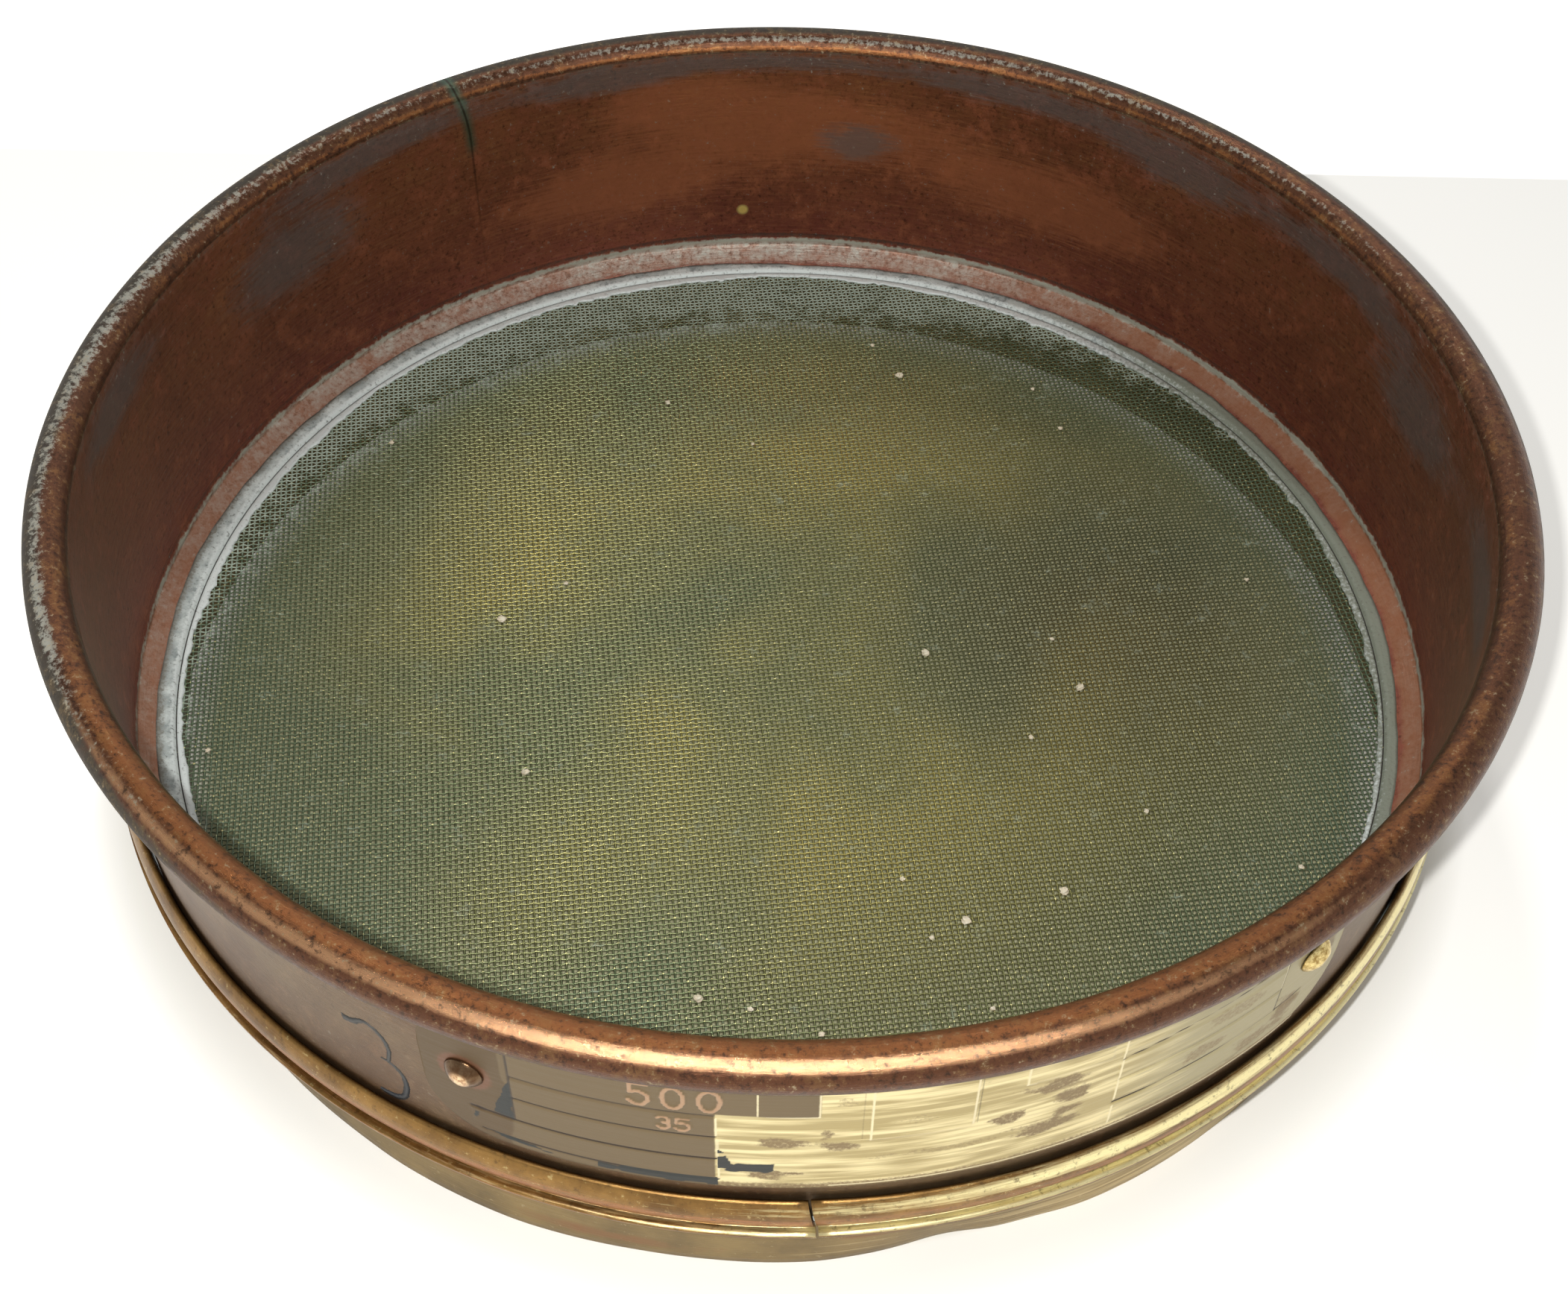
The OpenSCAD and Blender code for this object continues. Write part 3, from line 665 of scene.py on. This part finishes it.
near_end = np.exp(-np.abs(around - SPLIT - 360) / 3)
band_share = ramp(height, 18.2, 23.8)
red = table_of(around, [(-180, 0.3), (-70, 0.7), (-20, 0.95), (2, 0.8), (12, 0.6), (40, 0.8), (60, 0.9)]) \
    * (1 - ramp(np.abs(band_share - 0.28), 0.12, 0.45))
# cream on the upper band and along the lip's edge, strongest on the right: partly rubbed edges, partly a
# painted reflection and a painted edge highlight
pale = table_of(around, [(-180, 0.2), (-60, 0.1), (-25, 0.2), (-5, 0.4), (8, 0.8), (25, 1.2), (60, 1.3),
    (80, 0.6)]) * (1 - ramp(np.abs(band_share - 0.8), 0.08, 0.3)) * 0.8
lip_painted_highlight = table_of(around, [(-180, 0.3), (-60, 0.25), (-5, 0.5), (8, 0.85), (60, 1.15), (80, 0.6)])
pale = np.maximum(pale, lip_painted_highlight * (1 - ramp(np.abs(height - 18.0), 0.4, 1.0)))
mesh = skin("ring_strip", round_about(around - lean, radius + 0.12 * near_end, height),
            strip_of(azimuth, section), closed_around=False, marks={"red": red, "pale": pale})

# pressed brass strip, olive gold with a coppery band where lacquer wore off, cream on rubbed edges
# and as a painted reflection and painted edge highlight, most on the right
ring_metal, tree, mm = blank("golden_pressed_brass")
strip = add(tree, "UVMap", uv_map="strip")
cloud = add(tree, "TexNoise", {"Vector": mm, "Scale": 0.12, "Detail": 6.0, "Roughness": 0.65})
speck = add(tree, "TexNoise", {"Vector": mm, "Scale": 0.9, "Detail": 4.0, "Roughness": 0.75})
marks = drawn_out(tree, strip, 0.12, 2.2, 5.0, 0.7)
tone = over(tree, "#6a4d29", "#97733f", cloud, 0.36, 0.66)
for mark, grain, spread, colour in (("red", marks, 1.8, "#a2693a"), ("pale", marks, 1.2, "#f0e3ac")):
    share = ragged(tree, mark, grain, spread, 0.4, 0.9)
    tone = over(tree, tone, colour, share)
tone = over(tree, tone, "#cdbb84", speck, 0.60, 0.72, 0.6)
tone = over(tree, tone, "#4a3820", speck, 0.44, 0.32, 0.6)
finished(tree, tone, 0.85, 0.36, marks, 0.3, 0.0002)

piece = object_of("ring_strip", mesh, ring_metal)
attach(piece, "root")
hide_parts("joint_ring")

# ---- Solder -------------------------------------------------------------------------------------
# Soft solder run in with a torch: a fillet over the shoulder's toe, a fine crack along it, and a
# white flux crust that creeps out over the cloth. The seam round the cloth's edge and the bed that
# holds the ring are of the same solder.

FINE_STEPS, FINE_STEP = 720, 0.5
azimuth = SEAM + np.arange(FINE_STEPS + 1) * FINE_STEP
around = azimuth[:-1, None]
tooth = np.random.default_rng(21).normal(0, 1, (FINE_STEPS, 1))
reach = table_of(around, [(-180, 0.9), (-120, 1.0), (-60, 0.8), (0, 0.4), (60, 0.5), (100, 0.8), (140, 1.1)])
inner = 94.35 - reach * (0.55 + 0.28 * waves(around, (7, 15, 29, 47, 83), 22) + 0.3 * np.abs(tooth))
inner = np.minimum(inner, 94.3)
feather = 96.75 + table_of(around, [(-180, 0.0), (-120, 0.7), (-60, 0.8), (60, 0.2), (100, 0.1),
    (150, 0.2)]) + 0.12 * waves(around, (11, 19, 41, 67, 103), 24)
lump = 0.025 * waves(around, (19, 37, 61, 97), 23)
# height of the shoulder's upper face at a radius: flat over the toe, then rising as a cone
top_of = lambda r: np.maximum(14.93, 15.02 + 0.7105 * (r - 96.6))
t = np.array([[0.0, 0.35, 0.75]])
crust_r, crust_z = inner + (94.6 - inner) * t, CLOTH_TOP + 0.03 + 0.24 * np.sqrt(t) + 2 * lump * t
parts = [(crust_r, crust_z), (94.66, CLOTH_TOP + 0.25), (94.74, CLOTH_TOP - 0.05), (94.84, CLOTH_TOP - 0.05),
         (94.94, 14.66), (95.3, 15.0 + lump), (95.8, 15.12 + lump),
         (feather - 0.4, top_of(feather - 0.4) + 0.14 + lump), (feather, top_of(feather) + 0.02),
         (feather - 0.2, top_of(feather) - 0.35), (96.0, 14.6), (95.5, 14.3), (94.8, 13.9),
         (inner + 0.05, CLOTH_TOP - 0.3)]
radius = np.hstack([r + 0 * around for r, z in parts])
height = np.hstack([z + 0 * r + 0 * around for r, z in parts])
haze = table_of(around, [(-180, 0.9), (-120, 0.8), (-60, 0.75), (60, 0.4), (110, 0.2), (150, 0.6)])
bare = table_of(around, [(-180, 1), (50, 1), (80, 0.45), (130, 0.45), (165, 1)])
crust = np.maximum((radius < 94.7) * bare, ramp(96.2 - radius, 0, 0.9) * haze)
crack = (np.abs(radius - 94.8) < 0.1) * (height < 14.3) * 1.0
fade = ramp(radius, 95.6, 96.6) * table_of(around, [(-180, 0.5), (-120, 0.75), (-60, 0.8), (60, 0.5)])
green = table_of(around, [(-180, 0.15), (-60, 0.1), (40, 0.9), (80, 1), (125, 0.95), (155, 0.4)]) + 0 * radius
mesh = skin("cloth_solder_fillet", round_about(around, radius, height),
            strip_of(azimuth, np.stack([radius[0], height[0]], 1)),
            marks={"crust": crust, "crack": crack, "fade": fade, "green": green})

# tin-lead solder, blue-grey where it is bare, under a chalky flux crust with a little verdigris
solder_metal, tree, mm = blank("chalky_soft_solder")
cloud = add(tree, "TexNoise", {"Vector": mm, "Scale": 0.2, "Detail": 6.0, "Roughness": 0.7})
grit = add(tree, "TexNoise", {"Vector": mm, "Scale": 1.6, "Detail": 4.0, "Roughness": 0.7})
tone = over(tree, "#89928f", "#cad2cd", cloud, 0.38, 0.6)
for mark, grain, spread, colour in (
        ("green", cloud, 1.2, "#7f8576"), ("fade", grit, 1.4, "#75746a"), ("crust", grit, 1.4, "#cdd4d0"),
        ("crack", grit, 0.1, "#2b2621")):
    share = ragged(tree, mark, grain, spread, 0.4, 0.8)
    tone = over(tree, tone, colour, share)
tone = over(tree, tone, "#5f5b51", grit, 0.42, 0.32, 0.6)
finished(tree, tone, 0.25, 0.6, grit, 0.5, 0.0003)

piece = object_of("cloth_solder_fillet", mesh, solder_metal)
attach(piece, "root")
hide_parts("cloth_solder")
for name in ("seam_solder", "ring_solder"):
    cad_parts[name].data.materials.clear()
    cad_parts[name].data.materials.append(solder_metal)

# ---- Nameplate ----------------------------------------------------------------------------------
# A brass plate curved to the frame, with rounded corners. Its fields stand up a little, with fine
# sunk lines between and thin raised edges, and carry the opening and the mesh number as raised
# figures. Blue-grey paint is left in its sunk places, and brown tarnish covers the left third.

PLATE_R, WALL_R = 101.4, 100.8
PLATE_Z0, PLATE_Z1, PLATE_A0, PLATE_A1, CORNER_R = 27.03, 55.03, -24.6, 45.0, 10.0
RIVET_A0, RIVET_A1, RIVET_Z = -21.2, 41.6, 41.53
PLATE_COLUMNS, PLATE_ROWS = 481, 101
to_mm = math.radians(1) * PLATE_R
columns = np.linspace(PLATE_A0, PLATE_A1, PLATE_COLUMNS)
rise = np.linspace(0, 1, PLATE_ROWS)
gap = np.minimum(columns - PLATE_A0, PLATE_A1 - columns) * to_mm
inset = CORNER_R - np.sqrt(np.clip(CORNER_R ** 2 - (CORNER_R - np.minimum(gap, CORNER_R)) ** 2, 0, None))
low_z, high_z = PLATE_Z0 + inset, PLATE_Z1 - inset
az = columns[:, None] + 0 * rise
zz = low_z[:, None] * (1 - rise) + high_z[:, None] * rise


def field(az0, az1, z0, z1, soft=0.25):
    """1 inside a field between two azimuths and two heights, with an edge of a soft width in mm."""
    depth = np.minimum(np.minimum(az - az0, az1 - az) * to_mm, np.minimum(zz - z0, z1 - zz))
    return np.clip(depth / soft + 0.5, 0, 1)


def stroke(points, width=0.5, soft=0.15):
    """1 within half a width in mm of the lines through points of (azimuth, height), 0 beyond."""
    best = np.full(az.shape, 1e9)
    for (a0, b0), (a1, b1) in zip(points[:-1], points[1:]):
        ax, ay, bx, by = a0 * to_mm, b0, a1 * to_mm, b1
        length = max((bx - ax) ** 2 + (by - ay) ** 2, 1e-9)
        share = np.clip(((az * to_mm - ax) * (bx - ax) + (zz - ay) * (by - ay)) / length, 0, 1)
        best = np.minimum(best, np.hypot(az * to_mm - ax - share * (bx - ax), zz - ay - share * (by - ay)))
    return np.clip((width / 2 - best) / soft + 0.5, 0, 1)


def shape(points, soft=0.3):
    """1 inside a convex outline of (azimuth, height) points given anticlockwise, 0 outside."""
    depth = np.full(az.shape, 1e9)
    for (a0, b0), (a1, b1) in zip(points, points[1:] + points[:1]):
        ax, ay, bx, by = a0 * to_mm, b0, a1 * to_mm, b1
        cross = (bx - ax) * (zz - ay) - (by - ay) * (az * to_mm - ax)
        depth = np.minimum(depth, cross / math.hypot(bx - ax, by - ay))
    return np.clip(depth / soft + 0.5, 0, 1)


def drift(size, seed):
    """Smooth noise from 0 to 1 over the plate: random corners of a grid of a size in mm, blended."""
    corners = np.random.default_rng(seed).random((300, 300))
    x, y = (az - PLATE_A0) * to_mm / size[0], zz / size[1]
    i, j = np.floor(x).astype(int), np.floor(y).astype(int)
    u, v = x - i, y - j
    u, v = u * u * (3 - 2 * u), v * v * (3 - 2 * v)
    low_row = corners[i, j] * (1 - u) + corners[i + 1, j] * u
    return low_row * (1 - v) + (corners[i, j + 1] * (1 - u) + corners[i + 1, j + 1] * u) * v


FIGURES = {"0": [(0.5 + 0.5 * math.sin(a), 0.5 + 0.5 * math.cos(a)) for a in np.linspace(0, 2 * math.pi,
    17)], "3": [(0.05, 0.85), (0.3, 1), (0.7, 1), (0.95, 0.8), (0.9, 0.6), (0.45, 0.53), (0.9, 0.45),
                (1, 0.2), (0.7, 0), (0.3, 0), (0, 0.17)], "5": [(0.95, 1), (0.15, 1), (0.08, 0.55), (0.5,
    0.66), (0.95, 0.5), (1, 0.25), (0.7, 0), (0.3, 0), (0, 0.15)], }


def figures(text, places, z0, z1, width):
    """Raised figures, each fitted between its two azimuths."""
    shares = [stroke([(a0 + x * (a1 - a0), z0 + y * (z1 - z0)) for x, y in FIGURES[c]], width)
              for c, (a0, a1) in zip(text, places)]
    return np.maximum.reduce(shares)



def engraved(rows):
    """The strongest of some straight lines, each from one azimuth and height to another, with its
    width in mm and its strength."""
    return np.maximum.reduce([stroke([(a0, z0), (a1, z1)], width) * strength
                              for a0, z0, a1, z1, width, strength in rows])


raised = np.maximum.reduce([field(*edges) for edges in (
    (-17.85, -3.8, 44.3, 50.4), (-17.85, -3.8, 39.35, 43.7), (-17.85, -3.8, 34.0, 38.8),
    (-21.15, -3.8, 29.1, 33.55), (-0.9, 3.0, 44.6, 50.5), (6.55, 13.5, 38.45, 51.4), (17.0, 23.2, 45.2, 51.4),
    (24.1, 38.3, 45.2, 51.4), (24.1, 38.3, 39.6, 43.7), (24.1, 38.3, 34.4, 38.9), (24.1, 41.3, 29.2, 33.5))])
lines = engraved([(-17.85, 44.0, -3.8, 44.0, 0.3, 1), (-17.85, 39.1, -3.8, 39.1, 0.32, 1),
                  (-21.15, 33.8, -3.8, 33.8, 0.45, 1), (-17.85, 49.2, -17.85, 33.8, 0.3, 1),
                  (-20.5, 28.85, -3.8, 28.85, 0.45, 1), (24.1, 43.9, 38.3, 46.2, 0.22, 1),
                  (24.1, 39.2, 38.3, 39.2, 0.22, 1), (24.1, 33.7, 41.3, 34.5, 0.24, 1),
                  (5.95, 38.6, 5.95, 51.4, 0.3, 0.4), (13.8, 38.9, 13.8, 51.4, 0.3, 0.5),
                  (38.5, 34, 38.5, 46, 0.3, 0.7), (-0.9, 44.3, 3.0, 44.3, 0.25, 0.5)])
# the raised rims: thin raised edges, which the material also paints cream as a painted highlight
rims_and_painted_highlight = engraved([(-3.7, 43.6, -3.7, 39.5, 0.25, 1), (-3.65, 38.6, -3.65, 34.4, 0.28, 1),
                 (-3.6, 33.4, -3.6, 29.2, 0.28, 1), (-0.95, 50.4, -0.95, 44.6, 0.25, 0.8),
                 (3.05, 50.8, 3.05, 44.4, 0.25, 1), (3.05, 44.4, -0.4, 44.5, 0.25, 1),
                 (6.55, 51.4, 6.55, 38.4, 0.3, 1), (13.5, 51.4, 13.5, 39.0, 0.3, 1),
                 (16.97, 50.6, 16.97, 45.2, 0.28, 1), (16.97, 45.2, 17.6, 45.1, 0.28, 1),
                 (24.1, 51.0, 24.1, 34.4, 0.28, 1), (24.1, 33.0, 24.1, 28.6, 0.28, 1),
                 (38.3, 46.0, 38.3, 39.6, 0.22, 1), (4, 27.6, 44, 27.6, 0.3, 0.8),
                 (-24, 54.6, 44, 54.6, 0.3, 0.4)])
numbers = np.maximum(figures("500", [(-9.45, -8.1), (-7.2, -5.8), (-4.8, -3.4)], 45.2, 49.8, 0.55),
                     figures("35", [(-7.63, -6.77), (-6.43, -5.45)], 40.3, 43.0, 0.42))
brown = np.maximum(ramp(-3.65 - az, 0.0, 0.3), field(-4.2, 3.15, 44.5, 60, 0.5))
left_end = ramp(-17.9 - az + 1.2 * (drift((4, 4), 41) - 0.5), -0.1, 0.4)
wipe = drift((14, 1.0), 42) * 0.55 + drift((5, 0.5), 43) * 0.45
patchy = drift((4, 1.6), 44) * 0.45 + drift((1.6, 0.7), 45) * 0.35 + drift((0.8, 0.4), 49) * 0.2


def smear(a0, z0, wide, high):
    """A stain: a soft oval in mm about an azimuth and height, broken up by the patchy noise."""
    oval = np.exp(-((az - a0) * to_mm / wide) ** 2 - ((zz - z0) / high) ** 2)
    return np.clip(oval * 1.9 + (patchy - 0.5) * 2.2 - 0.6, 0, 0.75)


SMEARS = [(0.5, 38.5, 3.2, 1.4, 1), (4.5, 37.6, 3.0, 1.2, 1), (3.6, 40.5, 1.2, 1.6, 1),
          (19.5, 43.6, 4.0, 1.6, 1), (20.5, 39.6, 3.0, 1.6, 1), (16.0, 38.2, 2.5, 1.5, 1),
          (18.5, 33.6, 6.0, 1.6, 1), (20.5, 36.5, 2.5, 1.2, 1), (9.8, 42.5, 3.0, 1.2, 0.4),
          (0.0, 30.5, 3.5, 1.2, 1), (11.5, 34.0, 9.0, 0.9, 0.5), (31.5, 36.5, 3.5, 1.6, 0.7),
          (34.0, 42.2, 5.0, 2.0, 0.6), (36.5, 31.0, 5.0, 2.2, 0.8), (39.5, 33.0, 3.0, 4.0, 1),
          (43.0, 42.0, 2.2, 7.0, 1), (4.8, 47.5, 1.6, 1.6, 0.5)]
stain = np.maximum.reduce([smear(*oval) * strength for *oval, strength in SMEARS])
stain = np.maximum(stain, 0.75 * ramp(29.0 - zz + 0.5 * (patchy - 0.5), 0.3, 1.2) * (az > -3.8))
halo = np.exp(-((np.hypot((az - RIVET_A0) * to_mm, zz - RIVET_Z) - 2.9) / 0.8) ** 2)
wavy = 1.1 * (drift((1.3, 1.1), 46) - 0.5)
worn_off = ramp(drift((2.2, 1.4), 48), 0.28, 0.4)
paint = np.maximum.reduce([
    shape([(-17.9, 33.7), (-17.9, 43.0), (-18.3, 41.0), (-19.4, 34.2)]),
    shape([(-17.95, 48.6), (-18.0, 49.6), (-18.5, 49.4)]),
    shape([(-20.6, 29.8), (-18.8, 28.2), (-12, 27.5), (-12, 28.8), (-19, 29.2)], 0.4),
    shape([(-12.1, 27.5), (-3.7, 27.35), (-3.7, 28.75), (-12.1, 28.8)], 0.4),
    shape([(-3.65, 28.6), (-2.6, 30.2), (-2.3, 33.6), (-3.2, 35.4), (-3.65, 37.6)], 0.4) * worn_off,
    shape([(-3.2, 31.0), (-1.2, 30.9), (0.3, 31.2), (0.2, 33.2), (-2.4, 33.2)], 0.6),
    shape([(-21.2, 31.4), (-20.7, 31.2), (-20.5, 32.9), (-20.9, 32.8)])])
paint = ramp(paint + wavy, 0.3, 0.6) * (paint > 0)
scratches = 0.03 * drift((20, 0.35), 47)
relief = 0.10 * raised - 0.10 * lines + 0.07 * rims_and_painted_highlight + 0.22 * numbers + 0.02 * paint + scratches - 0.03
face = round_about(az, PLATE_R - 0.1 + relief, zz)
behind = np.full((len(columns), 1), WALL_R + 0.02)
back = [round_about(columns[:, None], behind, end[:, None]) for end in (high_z, low_z)]
# a share on the face, with nothing in the two rows of the back
pad = lambda share: np.pad(share + 0 * az, ((0, 0), (0, 2)))
# a place on the face in mm, held over the two rows of the back and the row that closes the section
held = lambda place: np.pad(place, ((0, 0), (0, 3)), mode="edge")
stains = {"brown": brown, "left_end": left_end, "stain": stain, "wipe": wipe, "lines": lines, "rims_and_painted_highlight": rims_and_painted_highlight,
          "numbers": numbers, "paint": paint, "halo": halo, "greyed": ramp(az, 20, 34)}
mesh = skin("nameplate_face", np.concatenate([face] + back, 1), np.stack([held(az * to_mm), held(zz)], -1),
            closed_around=False, marks={mark: pad(share) for mark, share in stains.items()})

# brushed brass, pale yellow where it is clean, taupe brown under tarnish, with old blue-grey paint,
# and cream on the raised rims as a painted highlight
plate_metal, tree, _ = blank("brushed_plate_brass")
strip = add(tree, "UVMap", uv_map="strip")
marks = drawn_out(tree, strip, 0.10, 2.6, 5.0, 0.7)
cloud = add(tree, "TexNoise", {"Vector": strip, "Scale": 0.22, "Detail": 6.0, "Roughness": 0.65})
speck = add(tree, "TexNoise", {"Vector": strip, "Scale": 2.0, "Detail": 3.0, "Roughness": 0.7})
wipe = add(tree, "Attribute", output="Fac", attribute_name="wipe")
share = add(tree, "Math", {0: marks, 1: 0.8, 2: wipe}, operation="MULTIPLY_ADD")
tone = over(tree, "#ac9b6b", "#e6d7a6", share, 0.72, 1.1)
dull = 0.0
for mark, grain, spread, colour, matt in (
        ("greyed", marks, 1.3, "#a59a76", 0.3), ("brown", cloud, 0.25, "#6d5b3e", 0.7),
        ("left_end", cloud, 0.3, "#5a4628", 0.6), ("stain", speck, 1.2, "#85704c", 0.5),
        ("halo", speck, 1.2, "#6f4a30", 0.4), ("rims_and_painted_highlight", speck, 0.4, "#e2d6b0", 0.0),
        ("numbers", speck, 0.5, "#ab8a6c", 0.2), ("lines", speck, 0.3, "#33261a", 0.8),
        ("paint", speck, 0.3, "#292b28", 1.0)):
    share = ragged(tree, mark, grain, spread, 0.25, 0.75)
    tone = over(tree, tone, colour, share)
    dull = add(tree, "Mix", {"Factor": share, "A": dull, "B": matt})
rough = add(tree, "MapRange", {"Value": dull, "To Min": 0.33, "To Max": 0.6})
metallic = add(tree, "MapRange", {"Value": dull, "To Min": 0.85, "To Max": 0.1})
finished(tree, tone, metallic, rough, marks, 0.25, 0.0001)

piece = object_of("nameplate_face", mesh, plate_metal)
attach(piece, "root")
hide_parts("nameplate")

# ---- Rivets -------------------------------------------------------------------------------------
# Two brass rivets through plate and frame. Their shanks are dressed flush inside, and their round
# heads were hammered down on the plate, which left them faceted.

DOME_R, DOME_TILT, RIVET_SIDES = 3.0, 60.0, 40


def hammered_rivet(name, azimuth, high, facets, cut, seed):
    """A turned shank and dome in one: each point of the dome is drawn in, towards the dome's
    centre, to the nearest of some planes that hammer blows left across it."""
    angle = np.radians(np.arange(RIVET_SIDES) * 360 / RIVET_SIDES)[:, None]
    tilt = np.radians(np.linspace(DOME_TILT, 0.0, 15))
    chance = np.random.default_rng(seed)
    blow_tilt = np.radians(chance.uniform(8, 58, facets))
    blow_turn = np.linspace(0, 2 * np.pi, facets, endpoint=False) + chance.uniform(-0.3, 0.3, facets)
    blow_tilt[0] = 0.1
    # the direction tilted off the rivet's axis and turned round it
    off_axis = lambda off, turn: np.stack(
        [np.sin(off) * np.cos(turn), np.sin(off) * np.sin(turn), np.cos(off) + 0 * turn], -1)
    blows, way = off_axis(blow_tilt, blow_turn), off_axis(tilt, angle)
    facing = np.maximum(way @ blows.T, 1e-3)
    share = np.minimum(1, (chance.uniform(cut, 1.0, facets) / facing).min(-1))
    dome = way * DOME_R * share[..., None] - np.array([0, 0, DOME_R / 2])
    tail = np.array([(0, -1.4), (1.5, -1.4), (1.5, -0.7), (1.5, -0.03), (2.55, -0.03)])
    shank = np.stack([tail[:, 0] * np.cos(angle), tail[:, 0] * np.sin(angle), tail[:, 1] + 0 * angle], -1)
    local = np.concatenate([shank, dome], 1)
    a = math.radians(azimuth)
    outward, along = np.array([math.sin(a), -math.cos(a), 0]), np.array([math.cos(a), math.sin(a), 0])
    points = local[..., 2:] * outward + local[..., :1] * along + local[..., 1:2] * np.array([0, 0, 1])
    points = (points + outward * PLATE_R + np.array([0, 0, high])) / 1000
    strip = np.zeros((RIVET_SIDES + 1, local.shape[1], 2))
    edge = ramp(np.hypot(local[..., 0], local[..., 1]), 0.9, 1.9)
    return welded(skin(name, points, strip, closed_section=False, marks={"edge": edge}))


# hammered brass: the left head browned to copper with a dark rim, the right one bare and bright; the
# dark rim is partly tarnish and partly painted shade on the dome's sloping side
rivet_metal, tree, mm = blank("hammered_brass")
x = add(tree, "SeparateXYZ", {0: mm}, "X")
speck = add(tree, "TexNoise", {"Vector": mm, "Scale": 1.3, "Detail": 4.0, "Roughness": 0.7})
copper = over(tree, "#9c7350", "#f0cfa4", speck, 0.4, 0.62)
# painted shade, partly tarnish: the head darkens from 0.9 mm out from its axis to its edge
edge = ragged(tree, "edge", speck, 0.8, 0.1, 0.6, 0.9)
copper = over(tree, copper, "#4a3421", edge)
yellow = over(tree, "#a3854a", "#ead494", speck, 0.4, 0.62)
tone = over(tree, copper, yellow, x, -1.0, 1.0)
finished(tree, tone, 0.9, 0.25, speck, 0.3, 0.0002)

for name, node, azimuth, facets, cut, seed in (("left_rivet_head", "rivet_left", RIVET_A0, 5, 0.98, 3),
                                               ("right_rivet_head", "rivet_right", RIVET_A1, 8, 0.93, 5)):
    piece = object_of(name, hammered_rivet(name, azimuth, RIVET_Z, facets, cut, seed), rivet_metal)
    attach(piece, "root")
    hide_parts(node)

# ---- Painted figure -----------------------------------------------------------------------------
# A figure 3 that someone brushed on the frame left of the plate in blue-grey paint: two strokes,
# thin where the brush ran dry and thick and black where it was lifted.

PATH_POINTS = 70


def brushed(name, points, widths):
    """A stroke of paint on the wall: a flat tube of four rows, left edge, crown, right edge and
    foot, carried along a smoothed path of (azimuth, height) points."""
    points, widths = np.array(points, float), np.array(widths, float)
    points[:, 0] *= math.radians(1) * WALL_R
    run = np.concatenate([[0], np.cumsum(np.linalg.norm(np.diff(points, axis=0), axis=1))])
    at = np.linspace(0, run[-1], PATH_POINTS)
    x, y, w = (np.interp(at, run, v) for v in (points[:, 0], points[:, 1], widths))
    soft = np.ones(7) / 7
    x, y = (np.convolve(np.pad(v, 3, mode="reflect", reflect_type="odd"), soft, "valid") for v in (x, y))
    way = np.stack([np.gradient(x), np.gradient(y)], 1)
    way /= np.linalg.norm(way, axis=1)[:, None]
    wobble = np.random.default_rng(9).normal(0, 0.05, (2, PATH_POINTS))
    side = np.stack([(-w / 2 + wobble[0]), 0 * w, (w / 2 + wobble[1]), 0 * w], 1)
    x = x[:, None] - way[:, 1:] * side
    y = y[:, None] + way[:, :1] * side
    out = WALL_R + np.array([0.0, 0.07, 0.0, -0.05])[None, :]
    strip = np.zeros((PATH_POINTS, 5, 2))
    return skin(name, round_about(np.degrees(x / WALL_R), out + 0 * x, y), strip, closed_around=False)


# thin oil paint gone blue-grey, nearly black where it lies thick
old_paint, tree, mm = blank("old_blue_grey_paint")
z = add(tree, "SeparateXYZ", {0: mm}, "Z")
speck = add(tree, "TexNoise", {"Vector": mm, "Scale": 1.0, "Detail": 4.0, "Roughness": 0.7})
thin = over(tree, "#262b2e", "#4a463f", speck)
tone = over(tree, thin, "#1f2226", z, 33.0, 30.0)
finished(tree, tone, 0.0, 0.55)

STROKES = {
    "painted_upper_stroke": (
        [(-31.52, 39.49), (-30.62, 39.66), (-29.52, 41.33), (-28.54, 40.69), (-27.91, 39.13),
         (-27.67, 36.99), (-28.01, 33.94), (-28.66, 34.07)], [1.5, 1.2, 0.8, 0.8, 0.8, 0.7, 0.6, 0.4]),
    "painted_lower_stroke": (
        [(-28.05, 34.0), (-27.42, 33.37), (-26.91, 31.94), (-26.82, 29.4), (-27.24, 26.49),
         (-28.02, 25.31), (-28.84, 25.18), (-29.51, 25.26)], [0.7, 0.8, 0.8, 0.9, 1.0, 1.3, 1.3, 0.8])}
for name, (points, widths) in STROKES.items():
    piece = object_of(name, brushed(name, points, widths), old_paint)
    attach(piece, "root")

# ---- Scene update -------------------------------------------------------------------------------
bpy.context.view_layer.update()
